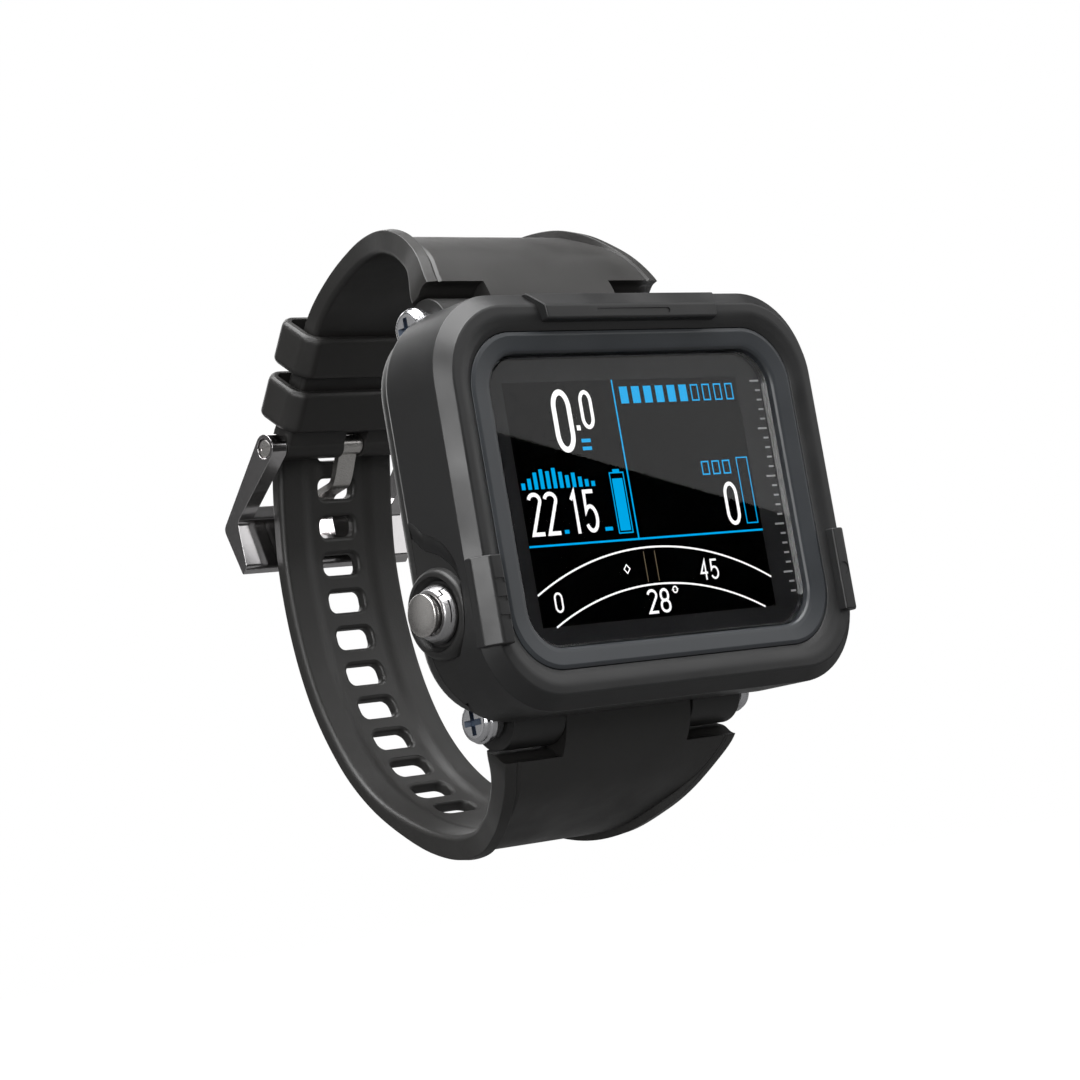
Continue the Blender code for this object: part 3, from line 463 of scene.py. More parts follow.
def combine(target, *steps):
    """Applies booleans one after another, and removes their tools."""
    for operation, tool in steps:
        boolean = target.modifiers.new(tool.name, "BOOLEAN")
        boolean.operation = operation
        boolean.object = tool
        boolean.solver = "EXACT"
    bpy.context.view_layer.update()
    graph = bpy.context.evaluated_depsgraph_get()
    mesh = bpy.data.meshes.new_from_object(target.evaluated_get(graph))
    target.modifiers.clear()
    old = target.data
    target.data = mesh
    bpy.data.meshes.remove(old)
    for _, tool in steps:
        bpy.data.objects.remove(tool)
    bm = bmesh.new()
    bm.from_mesh(mesh)
    bmesh.ops.remove_doubles(bm, verts=bm.verts, dist=WELD * MM)
    bmesh.ops.dissolve_degenerate(bm, edges=bm.edges, dist=WELD * MM)
    bm.to_mesh(mesh)
    bm.free()
    return target


def round_edges(obj, width, chosen=None, angle=32, segments=3):
    """Rounds the sharp edges, or those that chosen(middle in mm, edge) accepts."""
    bm = bmesh.new()
    bm.from_mesh(obj.data)
    edges = []
    for edge in bm.edges:
        if len(edge.link_faces) != 2 or edge.calc_face_angle() < radians(angle):
            continue
        middle = (edge.verts[0].co + edge.verts[1].co) / 2 / MM
        if chosen is None or chosen(middle, edge):
            edges.append(edge)
    shape = {"offset": width * MM, "segments": segments, "profile": 0.5, "clamp_overlap": True}
    bmesh.ops.bevel(bm, geom=edges, affect="EDGES", **shape)
    bm.to_mesh(obj.data)
    bm.free()
    return obj


def keep(obj, key, body, node=None, angle=38):
    """Finishes a piece: shading, material, the body it rides on, and hides the CAD node it stands for."""
    obj.data.shade_smooth()
    obj.data.set_sharp_from_angle(angle=radians(angle))
    normals = obj.modifiers.new("normals", "WEIGHTED_NORMAL")
    normals.keep_sharp = True
    normals.weight = 80
    if not obj.data.materials:
        obj.data.materials.append(MATERIALS[key])
    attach(obj, body)
    if node:
        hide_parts(node)
    return obj


def catmull_rom(points, per_span=24):
    """A smooth curve through the points, as closely spaced points."""
    points = [Vector(point) for point in points]
    padded = [2 * points[0] - points[1], *points, 2 * points[-1] - points[-2]]
    found = []
    for a, b, c, d in zip(padded, padded[1:], padded[2:], padded[3:]):
        for i in range(per_span):
            t = i / per_span
            square = (2 * a - 5 * b + 4 * c - d) * t**2
            cube = (3 * b - a - 3 * c + d) * t**3
            found.append(0.5 * (2 * b + (c - a) * t + square + cube))
    found.append(points[-1])
    return found


class Path:
    """A strap's outer face from the side, walked by distance. Its normal points out of the loop."""

    def __init__(self, points, side):
        self.points = catmull_rom(points)
        self.side = side
        self.reach = [0.0]
        for a, b in zip(self.points, self.points[1:]):
            self.reach.append(self.reach[-1] + (b - a).yz.length)

    @property
    def length(self):
        return self.reach[-1]

    def at(self, distance):
        index = 1
        while index < len(self.reach) - 1 and self.reach[index] < distance:
            index += 1
        start, end = self.reach[index - 1], self.reach[index]
        a, b = self.points[index - 1], self.points[index]
        here = a.lerp(b, (distance - start) / (end - start))
        along = Vector((0, *(b - a).yz.normalized()))
        return Vector((0, *here.yz)), along, self.side * Vector((0, along.z, -along.y)), here.x

    def nearest(self, target):
        steps = [self.length * i / 2000 for i in range(2001)]
        return min(steps, key=lambda distance: (self.at(distance)[0] - target).length)


def ease(value, low, high):
    """0 below low, 1 above high, smooth between."""
    t = min(max((value - low) / (high - low), 0.0), 1.0)
    return t * t * (3 - 2 * t)


# ---------------- case

BUTTON_Y, BUTTON_Z = -15.4, -13.1
LUG_Y, LUG_Z = -7.4, 27.4
LUG_SPAN = (12.3, 21.8)
WAVE_GAP = 0.04
SENSOR_XZ = (17.0, -7.5)
# The radius of the bumper's outer corners, and how far out their centres are
BUMPER_CORNER = 12.0
CORNER_X, CORNER_Z = 23.8, 16.4
POSTS = [(side * 27.2, end * 19.8) for side in (1, -1) for end in (1, -1)]

# The bumper's rear edge waves forwards round each button, as (y, z)
WAVE = [
    (-9.0, -1.6),
    (-12.2, -2.4),
    (-14.2, -4.2),
    (-17.4, -5.7),
    (-19.9, -8.1),
    (-21.2, -11.9),
    (-20.5, -16.1),
    (-17.8, -19.9),
    (-16.2, -22.4),
    (-14.9, -24.2),
    (-13.6, -26.2),
    (-9.0, -30.0),
]
# How deep the bumper is scooped in front of its edge, as (x, depth)
SCOOP = (
    (30.0, 0.0),
    (34.8, 0.0),
    (34.87, 0.6),
    (35.0, 1.1),
    (35.2, 1.6),
    (35.45, 2.05),
    (35.7, 2.4),
    (36.6, 2.75),
)


def wave_outline(inset, scoop=0.0):
    """The area inside the wave, its edge moved inwards. A scoop moves it outwards, and fades out below."""
    line = catmull_rom([(0, y, z) for y, z in WAVE], 6)
    found = []
    for before, point, after in zip(line, line[1:], line[2:]):
        along = (after - before).normalized()
        upper = ease(point.z, -13.0, -4.5)
        moved = inset - scoop * (0.12 + 0.88 * upper)
        found.append((point.y - along.z * moved, point.z + along.y * moved))
    return found


def wave_cutter(side):
    """Cuts the bumper back along the wave, with a hollow slope down to the wall."""
    return loft(f"wave_{side}", [[(side * x, y, z) for y, z in wave_outline(0, depth)] for x, depth in SCOOP])


# The case and the bumper as (y, half width, half height, corner radius, rounding)
CASE = [
    (-20.6, 33.4, 26.0, 10.0, 0),
    (-12.05, 33.4, 26.0, 10.0, 0),
    (-12.0, 34.9, 27.3, 11.1, 0),
    (-10.4, 34.6, 27.1, 10.8, 1.2),
    (-8.0, 32.5, 25.9, 10.2, 1.8),
    (-4.0, 28.6, 22.8, 10.6, 1.8),
    (-1.4, 26.1, 20.5, 11.0, 0.9),
    (0.0, 24.7, 19.3, 10.4, 0.5),
    (0.0, 23.4, 18.0, 9.6, 0),
]
BUMPER = [
    (-12.3, 35.3, 27.9, 11.6, 0.25),
    (-13.0, 35.7, 28.3, 12.0, 0.3),
    (-23.0, 35.8, 28.4, 12.0, 0.16),
    (-24.8, 34.0, 26.6, 10.6, 0.16),
    (-24.9, 33.7, 26.3, 10.3, 0.1),
    (-24.9, 32.3, 24.9, 9.5, 0.9),
    (-24.45, 31.1, 23.7, 8.8, 0.5),
    (-24.05, 30.5, 23.1, 8.4, 0.1),
    (-22.9, 30.5, 23.1, 8.4, 0),
    (-22.9, 33.7, 26.3, 10.3, 0),
    (-12.3, 33.7, 26.3, 10.3, 0.2),
]


def make_case():
    """The rear case, whose side walls come out to the bumper's wave round each button."""
    case = rounded_loft("rear_case_shell", CASE)
    steps = []
    for side in (1, -1):
        axis = "X" if side > 0 else "-X"
        centre = (0, BUTTON_Y, BUTTON_Z)
        wall = rounded_loft(f"wall_{side}", [(-21.4, 34.85, 27.3, 11.1, 0), (-11.9, 34.85, 27.3, 11.1, 0)])
        rim = [(5.4, 35.9, 0), (5.9, 35.6, 0.3), (6.3, 34.7, 0.3), (6.3, 33.0, 0)]
        ring = turned(f"ring_{side}", rim, centre, axis)
        ends = sorted((side * 30.4, side * 36.0))
        plug = extruded(f"plug_{side}", wave_outline(WAVE_GAP), *ends)
        combine(wall, fuse(ring), ("INTERSECT", plug))
        hollow = [(5.2, 36.4, 0), (5.1, 36.0, 0), (4.95, 35.6, 0.3), (4.4, 34.9, 0)]
        steps += [fuse(wall), cut(turned(f"dish_{side}", hollow, centre, axis))]
    low, high = LUG_SPAN
    for side in (1, -1):
        for end in (1, -1):
            centre = (side * (low + high) / 2, LUG_Y, end * LUG_Z)
            steps.append(fuse(cylinder(f"knuckle_{side}_{end}", centre, 4.3, high - low, rounding=0.35)))
    hollow = [(-21.5, 31.0, 23.6, 8.0, 0), (-12.5, 31.0, 23.6, 8.0, 0)]
    hollow += [(-12.5, 26.5, 20.2, 7.4, 0), (-3.0, 24.6, 18.6, 6.6, 0)]
    steps.append(cut(rounded_loft("hollow", hollow)))
    for end in (1, -1):
        centre = (0, LUG_Y, end * LUG_Z)
        steps.append(cut(cylinder(f"relief_{end}", centre, 4.4, 24.55)))
        steps.append(cut(cylinder(f"bore_{end}", centre, 1.9, 50)))
        for side in (1, -1):
            place = (side * 25.2, LUG_Y, end * LUG_Z)
            steps.append(cut(cylinder(f"pocket_{side}_{end}", place, 3.5, 6.7)))
    for x, z in POSTS:
        steps.append(fuse(cylinder(f"post_{x}_{z}", (x, -14.7, z), 2.2, 6.0, "Y", 24)))
        steps.append(cut(cylinder(f"pilot_{x}_{z}", (x, -15.5, z), 1.05, 8.0, "Y", 16)))
    for side in (1, -1):
        steps.append(cut(cylinder(f"button_bore_{side}", (side * 33.5, BUTTON_Y, BUTTON_Z), 3.5, 6.4)))
    x, z = SENSOR_XZ
    steps.append(cut(cylinder("port", (x, -2.0, z), 4.5, 6.0, "Y")))
    recess = [(5.9, -1.2, 0), (5.9, -0.25, 0), (6.15, 0, 0), (6.6, 0.45, 0)]
    steps.append(cut(turned("recess", recess, (x, 0, z), "Y")))
    groove = [(-21.0, 32.9, 25.5, 9.6, 0), (-19.5, 32.9, 25.5, 9.6, 0)]
    groove += [(-19.5, 31.6, 24.2, 8.4, 0), (-21.0, 31.6, 24.2, 8.4, 0)]
    steps.append(cut(rounded_loft("groove", groove, ring=True)))
    combine(case, *steps)
    keep(case, "case_plastic", "case", "rear_case")


def make_bumper():
    """The bumper with its three raised pads, which carry three bars, a dot and a dash."""
    bumper = rounded_loft("bumper_shell", BUMPER, ring=True, steps=18)
    steps = []
    # The side pads stand 1.1 mm proud of the rim and its chamfer.
    profile = [((35.75, -22.6), 0), ((35.75, -24.1), 0.3), ((33.95, -25.85), 0.3), ((33.6, -26.0), 0.3)]
    profile += [((31.8, -26.0), 0.3), ((31.5, -24.7), 0.2), ((33.0, -23.6), 0)]
    for side in (1, -1):
        outline = [(side * x, y) for x, y in soften(profile)]
        pad = extruded(f"pad_{side}", outline, -19.0, -7.1, "Z")
        round_edges(pad, 0.25, lambda middle, edge: abs(middle.z + 13.05) > 5.9)
        steps.append(fuse(pad))
    # The top pad's ends slant outwards to the edge of the case. Its profile is (z, y, half length, rounding).
    sections = [(28.35, -22.6, 18.0, 0), (28.35, -24.1, 18.0, 0.3), (26.5, -25.85, 16.6, 0.3)]
    sections += [(26.2, -26.0, 16.4, 0.3), (24.4, -26.0, 16.2, 0.3), (24.1, -24.7, 16.2, 0.2)]
    sections.append((25.6, -23.6, 16.4, 0))
    line = soften([(section[:3], section[3]) for section in sections])
    top = loft("pad_top", [[(sign * x, y, z) for z, y, x in line] for sign in (1, -1)])
    round_edges(top, 0.25, lambda middle, edge: abs(middle.x) > 15.5)
    steps.append(fuse(top))
    steps += [cut(wave_cutter(side)) for side in (1, -1)]
    combine(bumper, *steps)

    def on_wave(middle, edge):
        """Whether an edge lies on the wave, at the outer wall or round its lower corner."""
        outside = max(abs(v.co.x) for v in edge.verts) / MM
        below = min(max(-CORNER_Z - middle.z, 0), BUMPER_CORNER - 0.5)
        wall = CORNER_X + (BUMPER_CORNER**2 - below**2) ** 0.5
        return outside > wall - 0.5 and -22.0 < middle.y < -13.1 and -27.5 < middle.z < 0.8

    round_edges(bumper, 0.28, on_wave, 25, 2)
    marks = []
    for place in (-10.6, -13.05, -15.5):
        marks.append(cut(block("mark", (-33.6, -26.4, place - 0.35), (-32.0, -25.85, place + 0.35))))
    marks.append(cut(turned("dot", [(0.95, 25.85, 0), (0.95, 26.5, 0)], (32.8, 0, -13.05), "-Y", 40)))
    dash = rounded_rectangle(7.0, 0.4, 0.39, 6)
    marks.append(cut(loft("dash", [[(x, y, 25.35 + z) for x, z in dash] for y in (-26.4, -25.85)])))
    combine(bumper, *marks)
    keep(bumper, "bumper_rubber", "case", "bumper", angle=30)


# The bezel and the glass, given as the case and the bumper are
BEZEL = [
    (-23.6, 26.9, 20.1, 5.6, 0.1),
    (-23.9, 27.2, 20.4, 5.9, 0.1),
    (-24.0, 27.6, 20.8, 6.2, 0.2),
    (-24.3, 29.9, 22.5, 8.1, 0.2),
    (-24.1, 30.42, 23.02, 8.35, 0.1),
    (-22.6, 30.42, 23.02, 8.35, 0),
    (-22.6, 33.3, 25.9, 10.0, 0),
    (-20.9, 33.3, 25.9, 10.0, 0),
    (-20.9, 25.6, 18.9, 4.0, 0),
    (-21.3, 25.6, 18.9, 4.0, 0),
    (-21.3, 26.9, 20.1, 5.6, 0),
]
GLASS = [
    (GLASS_Y, 26.0, 19.2, 4.8, 0),
    (GLASS_Y, 26.45, 19.65, 5.15, 0),
    (-23.05, 26.6, 19.8, 5.3, 0),
    (-22.2, 26.6, 19.8, 5.3, 0),
]


def make_front():
    bezel = rounded_loft("bezel_frame", BEZEL, ring=True, steps=18)
    keep(bezel, "bezel_grey", "case", "bezel_ring", angle=30)
    keep(rounded_loft("lens_pane", GLASS), "glass_clear", "case", "lens_glass")


# ---------------- display

# The lit area as (x low, x high, z low, z high), and the depths of the layers
ACTIVE = (-23.35, 21.35, -17.1, 16.4)
PANEL_Y = -21.91
PRINT_Y = -21.94
SCALE_Y = -21.97
GLOW_Y = -21.98


def flat_piece(name, bm, key, thickness):
    """A thin flat layer just behind the glass."""
    obj = mesh_object(name, bm)
    thick = obj.modifiers.new("thickness", "SOLIDIFY")
    thick.thickness = thickness * MM
    thick.offset = 0
    obj.data.materials.append(MATERIALS[key])
    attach(obj, "case")
    return obj


def add_ring(bm, outer, inner, y, closed=True):
    """A flat band between two lines of equally many points."""
    rows = [[bm.verts.new((x, y, z)) for x, z in line] for line in (outer, inner)]
    count = len(outer)
    for i in range(count if closed else count - 1):
        j = (i + 1) % count
        bm.faces.new((rows[0][i], rows[0][j], rows[1][j], rows[1][i]))


def add_bar(bm, x0, x1, z0, z1, y=GLOW_Y):
    bm.faces.new([bm.verts.new((x, y, z)) for x, z in ((x0, z0), (x1, z0), (x1, z1), (x0, z1))])


def add_frame(bm, x0, x1, z0, z1, line):
    """The outline of a box."""
    add_bar(bm, x0, x1, z0, z0 + line)
    add_bar(bm, x0, x1, z1 - line, z1)
    add_bar(bm, x0, x0 + line, z0 + line, z1 - line)
    add_bar(bm, x1 - line, x1, z0 + line, z1 - line)


def add_stroke(bm, points, width, closed=False):
    """A band of even width along a line of (x, z) points."""
    count = len(points)
    sides = ([], [])
    for i, point in enumerate(points):
        here = Vector(point)
        arriving = (here - Vector(points[i - 1])).normalized() if closed or i else None
        leaving = (Vector(points[(i + 1) % count]) - here).normalized() if closed or i < count - 1 else None
        first, second = arriving or leaving, leaving or arriving
        along = (first + second).normalized()
        mitre = max(along.dot(first), 0.35)
        off = Vector((-along.y, along.x)) * width / 2 / mitre
        sides[0].append(here + off)
        sides[1].append(here - off)
    add_ring(bm, *sides, GLOW_Y, closed)


def arc(x, z, radius_x, radius_z, start, end, steps=28):
    found = []
    for i in range(steps + 1):
        angle = radians(start + (end - start) * i / steps)
        found.append((x + radius_x * cos(angle), z + radius_z * sin(angle)))
    return found


def oval(x, z, half_x, half_z, straight=0.45, steps=10):
    """A narrow rounded zero as a closed line."""
    bend = half_z * (1 - straight)
    found = []
    for sign, offset in ((1, half_z - bend), (-1, bend - half_z)):
        for i in range(2 * steps + 1):
            angle = radians(180 * i / (2 * steps)) + (0 if sign > 0 else pi)
            found.append((x + half_x * cos(angle), z + offset + bend * sin(angle)))
    return found


def digit(kind, x, z, width, height, line):
    """One numeral as (points, closed) lines inside a box whose lower left corner is x, z."""
    w, h = width / 2, height / 2
    cx, cz = x + w, z + h
    if kind == "0":
        return [(oval(cx, cz, w, h), True)]
    if kind == "1":
        stem = cx + 0.1 * w
        return [([(cx - 0.55 * w, cz + 0.62 * h), (stem, cz + h), (stem, cz - h - line / 2)], False)]
    if kind == "2":
        hook = arc(cx, cz + h - 0.85 * w, w, 0.85 * w, 168, -32, 18)
        return [(hook + [(cx - w, cz - h), (cx + w, cz - h)], False)]
    if kind == "4":
        stem, bar = cx + 0.4 * w, cz - 0.35 * h
        return [([(stem, cz - h - line / 2), (stem, cz + h), (cx - w, bar), (cx + w, bar)], False)]
    if kind == "5":
        bowl = arc(cx - 0.05 * w, cz - h + 0.62 * h, 1.05 * w, 0.62 * h, 128, -152, 22)
        flag = [(cx + 0.9 * w, cz + h), (cx - 0.75 * w, cz + h), (cx - 0.85 * w, cz + 0.02 * h)]
        return [(flag + bowl, False)]
    if kind == "8":
        top = oval(cx, cz + 0.5 * h, 0.86 * w, 0.5 * h, 0.1)
        return [(top, True), (oval(cx, cz - 0.48 * h, w, 0.52 * h, 0.1), True)]
    raise ValueError(kind)


def add_digits(bm, text, x, z, width, height, pitch, line):
    for i, kind in enumerate(text):
        for points, closed in digit(kind, x + i * pitch, z, width, height, line):
            add_stroke(bm, points, line, closed=closed)


# Numerals as (text, x, z, width, height, pitch, line)
NUMERALS = (
    ("0", -14.7, 6.9, 2.75, 8.0, 0, 0.82),
    ("0", -9.6, 9.9, 1.85, 4.9, 0, 0.58),
    ("22", -22.1, -4.45, 2.0, 5.45, 2.9, 0.55),
    ("15", -14.9, -4.45, 2.0, 5.45, 2.75, 0.55),
    ("0", 15.1, -4.85, 2.15, 5.7, 0, 0.56),
    ("28", -3.3, -16.4, 1.6, 3.05, 2.35, 0.38),
    ("0", -20.4, -15.1, 1.25, 2.5, 0, 0.3),
    ("45", 7.7, -12.4, 1.3, 2.6, 2.0, 0.29),
)
# The heights of the graph's bars
GRAPH = (0.9, 1.5, 2.3, 2.7, 2.4, 2.8, 2.2, 1.7, 2.0, 1.4, 1.0, 0.7)


def make_black_layers():
    """The panel, and the mask printed on the back of the glass round it."""
    x0, x1, z0, z1 = ACTIVE
    mask = bmesh.new()
    outer = rounded_rectangle(26.45, 19.65, 5.1, 8)
    inner = []
    for x, z in ((x1, z1), (x0, z1), (x0, z0), (x1, z0)):
        inner += [(x, z)] * (len(outer) // 4)
    add_ring(mask, outer, inner, PRINT_Y)
    flat_piece("display_mask", mask, "mask_black", 0.02)
    panel = bmesh.new()
    add_bar(panel, x0 - 0.3, x1 + 0.3, z0 - 0.3, z1 + 0.3, PANEL_Y)
    flat_piece("display_panel", panel, "lcd_black", 0.01)


def make_white_marks():
    """The numerals, a decimal point, a degree ring, and the dial's two arcs and pointer."""
    white = bmesh.new()
    for numeral in NUMERALS:
        add_digits(white, *numeral)
    add_bar(white, -11.05, -10.35, 9.5, 10.2)
    add_stroke(white, oval(2.1, -13.5, 0.42, 0.42, 0.0, 6), 0.2, closed=True)
    add_stroke(white, arc(-1.2, -55.4, 48.1, 48.1, 117.4, 62.0, 72), 0.25)
    add_stroke(white, arc(-0.8, -58.0, 45.5, 45.5, 116.2, 64.0, 60), 0.25)
    add_stroke(white, [(-6.85, -10.1), (-6.3, -9.5), (-5.75, -10.1), (-6.3, -10.7)], 0.16, closed=True)
    flat_piece("display_white", white, "glow_white", 0.01)


def make_blue_marks():
    """The dividing lines, the battery, the right gauge, the rows of cells, the graph and short bars."""
    x0, x1, _, z1 = ACTIVE
    blue = bmesh.new()
    for bar in (
        (-3.2, -2.95, -6.05, z1),
        (x0, x1, -6.2, -5.93),
        (-5.85, -4.6, 3.45, 3.85),
        (-6.2, -4.25, -4.75, 2.55),
        (-10.6, -8.9, 6.7, 7.2),
        (-10.6, -8.9, 7.8, 8.3),
        (-16.5, -15.7, -4.6, -4.1),
        (-9.0, -7.6, -4.6, -4.1),
    ):
        add_bar(blue, *bar)
    add_frame(blue, -6.6, -3.85, -5.15, 3.45, 0.17)
    add_frame(blue, 18.45, 20.75, -5.05, 4.6, 0.16)
    for i in range(10):
        left = -1.9 + 2.3 * i
        if i < 6:
            add_bar(blue, left, left + 1.5, 13.0, 15.4)
        else:
            add_frame(blue, left, left + 1.5, 13.0, 15.4, 0.2)
    for i, height in enumerate(GRAPH):
        left = -22.9 + 1.16 * i
        add_bar(blue, left, left + 0.66, 1.7, 1.7 + height)
    for i in range(3):
        add_frame(blue, 11.4 + 2.1 * i, 12.9 + 2.1 * i, 2.3, 4.3, 0.2)
    flat_piece("display_blue", blue, "glow_blue", 0.01)


def make_display():
    make_black_layers()
    make_white_marks()
    make_blue_marks()
    tan_lines = bmesh.new()
    for x in (-2.75, -0.65):
        add_bar(tan_lines, x, x + 0.13, -12.1, -7.85)
    flat_piece("display_tan", tan_lines, "glow_tan", 0.01)
    scale = bmesh.new()
    for i in range(23):
        z = 15.6 - 1.4 * i
        add_bar(scale, 24.9 if i % 5 else 24.1, 25.9, z - 0.13, z + 0.13, SCALE_Y)
    flat_piece("display_scale", scale, "print_grey", 0.01)


# ---------------- buttons and screws

# Turned pieces as (radius, height, rounding)
BUTTON_CAP = [
    (0.5, 38.42, 0),
    (1.3, 38.39, 0),
    (2.0, 38.33, 0),
    (2.9, 38.2, 0.24),
    (2.9, 37.6, 0.12),
    (2.45, 37.6, 0),
    (2.45, 36.6, 0.1),
    (2.05, 36.6, 0),
    (2.05, 37.6, 0),
    (1.3, 37.6, 0),
    (1.3, 29.8, 0),
]
BUTTON_COLLAR = [
    (3.2, 36.9, 0.1),
    (3.35, 36.75, 0.15),
    (3.9, 35.7, 0.3),
    (4.0, 35.5, 0.1),
    (4.0, 35.2, 0.1),
    (3.2, 35.2, 0),
    (3.2, 32.4, 0),
    (1.6, 32.4, 0),
    (1.6, 33.2, 0),
    (2.2, 33.2, 0),
    (2.2, 34.1, 0),
    (1.6, 34.1, 0),
    (1.6, 35.4, 0),
    (2.75, 35.4, 0),
    (2.75, 36.9, 0.1),
]
LUG_BOLT = [
    (1.9, 25.6, 0),
    (2.3, 25.6, 0.15),
    (2.75, 25.2, 0.15),
    (2.75, 24.75, 0.1),
    (3.05, 24.55, 0.15),
    (3.05, 23.6, 0.2),
    (2.5, 23.2, 0.1),
    (2.5, 22.1, 0.1),
    (0.8, 22.1, 0),
    (0.8, 18.5, 0),
]


def beside_button(side, radius, height, angle):
    """A point at an angle round a button's axis."""
    return (side * height, BUTTON_Y + radius * cos(angle), BUTTON_Z + radius * sin(angle))


def make_button(name, side, body):
    """A button's cap, its spring and its collar."""
    centre = (0, BUTTON_Y, BUTTON_Z)
    axis = "X" if side > 0 else "-X"
    cap = turned(f"{name}_face", BUTTON_CAP, centre, axis, 72)
    keep(cap, "steel_satin", body, f"{name}_cap")
    # The spring's outer end moves with the cap and its inner end stays on the collar; here the whole coil
    # rides with the cap.
    coil = []
    for i in range(3 * 28 + 1):
        angle = 2 * pi * i / 28
        wire = [(1.68 + 0.14 * cos(k * pi / 5), 35.75 + i / 56 + 0.14 * sin(k * pi / 5)) for k in range(10)]
        coil.append([beside_button(side, r, h, angle) for r, h in wire])
    coil = keep(loft(f"{name}_coil", coil), "spring_steel", body, f"{name}_spring")
    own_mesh(coil)
    collar = turned(f"{name}_base", BUTTON_COLLAR, centre, axis, 72, ring=True)
    # A stepped bayonet slot runs down the collar, and a fine groove goes part of the way round it.
    steps = []
    turn = Matrix.Translation((0, BUTTON_Y, BUTTON_Z)) @ Matrix.Rotation(radians(52), 4, "X")
    legs = ((36.2, 37.2, -0.11, 0.11), (36.2, 36.42, -0.11, 1.0), (35.3, 36.42, 0.78, 1.0))
    for low, high, left, right in legs:
        tool = block(f"{name}_slot", (side * low, left, 2.9), (side * high, right, 4.3))
        steps.append(cut(transformed(tool, turn)))
    groove = []
    for i in range(13):
        angle = radians(158 + 4 * i)
        corners = ((3.0, 36.0), (4.3, 36.0), (4.3, 36.16), (3.0, 36.16))
        groove.append([beside_button(side, r, h, angle) for r, h in corners])
    steps.append(cut(loft(f"{name}_groove", groove)))
    combine(collar, *steps)
    keep(collar, "steel_turned", "case", f"{name}_collar")


def cross_cutter(name, tip, side):
    """A tapered cross recess."""
    bars = []
    for way in ((1.85, 0.45), (0.45, 1.85)):
        loops = []
        for depth, shrink in ((-0.5, 1.08), (0.8, 0.74)):
            a, b = way[0] * shrink, way[1] * shrink
            x = tip[0] - side * depth
            loops.append([(x, tip[1] + s * a, tip[2] + t * b) for s, t in CORNERS])
        bars.append(loft(f"{name}_{way[0]}", loops))
    combine(bars[0], fuse(bars[1]))
    return bars[0]


def make_lug_screws():
    for label, end in (("upper", 1), ("lower", -1)):
        pin = cylinder(f"lug_rod_{label}", (0, LUG_Y, end * LUG_Z), 1.6, 43.2, rounding=0.2)
        threads = []
        for side in (1, -1):
            place = (side * 20.6, LUG_Y, end * LUG_Z)
            threads.append(cut(cylinder(f"thread_{side}", place, 1.1, 7.0, steps=24)))
        combine(pin, *threads)
        keep(pin, "steel_satin", "case", f"lug_pin_{label}")
        for hand, side in (("left", -1), ("right", 1)):
            axis = "X" if side > 0 else "-X"
            screw = turned(f"lug_bolt_{label}_{hand}", LUG_BOLT, (0, LUG_Y, end * LUG_Z), axis)
            cutter = cross_cutter(f"cross_{label}_{hand}", (side * 25.6, LUG_Y, end * LUG_Z), side)
            # The recess takes the second material, a darker bluish steel that paints shade into the recess.
            for obj, index in ((screw, 0), (cutter, 1)):
                for key in ("screw_nickel", "recess_dark"):
                    obj.data.materials.append(MATERIALS[key])
                for face in obj.data.polygons:
                    face.material_index = index
            combine(screw, cut(cutter))
            keep(screw, "screw_nickel", "case", f"lug_screw_{label}_{hand}")


# ---------------- strap

# Each strap's outer face as (half width, y, z), from its lug onwards
UPPER_PATH = [
    (22.1, -11.3, 28.2),
    (22.1, -10.7, 31.2),
    (22.1, -9.3, 34.3),
    (20.9, -7.0, 37.9),
    (19.6, -4.0, 40.8),
    (18.5, -0.3, 43.3),
    (17.4, 4.5, 45.0),
    (16.0, 10.5, 45.3),
    (14.9, 16.5, 44.2),
    (14.0, 22.2, 42.3),
    (13.3, 27.7, 39.4),
    (13.0, 31.64, 35.68),
    (13.0, 36.7, 28.93),
    (13.0, 42.08, 21.76),
]
LOWER_PATH = [
    (22.1, -11.3, -28.2),
    (22.1, -10.5, -31.2),
    (22.1, -8.7, -34.3),
    (20.4, -5.6, -37.6),
    (18.6, -1.6, -40.8),
    (16.9, 2.4, -43.0),
    (14.9, 8.2, -45.0),
    (13.6, 15.0, -45.2),
    (12.6, 22.0, -43.4),
    (11.9, 28.5, -40.2),
    (11.5, 34.6, -36.0),
    (11.2, 39.6, -31.0),
    (11.0, 43.2, -25.6),
    (11.0, 45.8, -19.8),
    (11.0, 47.5, -13.8),
    (11.0, 48.5, -7.6),
    (11.0, 48.9, -1.6),
    (11.0, 48.8, 4.4),
    (11.0, 48.0, 10.4),
    (11.0, 46.8, 16.6),
    (11.0, 44.9, 23.3),
    (11.0, 41.7, 26.9),
    (11.0, 36.6, 33.3),
    (10.2, 31.9, 39.5),
    (8.4, 28.2, 43.0),
    (5.6, 24.3, 45.6),
]
LUG_NOTCH = [
    (-16.0, 35.6),
    (-8.2, 33.4),
    (-6.9, 32.1),
    (-5.4, 31.55),
    (-4.1, 30.6),
    (-3.1, 29.0),
    (-2.8, 27.4),
    (-2.8, 20.0),
    (-16.0, 20.0),
]
BUCKLE_PIN = Vector((0, 40.8, 20.8))
STRAIGHT = Vector((0, -0.6, 0.8))
OUTWARD = Vector((0, 0.8, 0.6))
SLOT_PITCH = 6.0


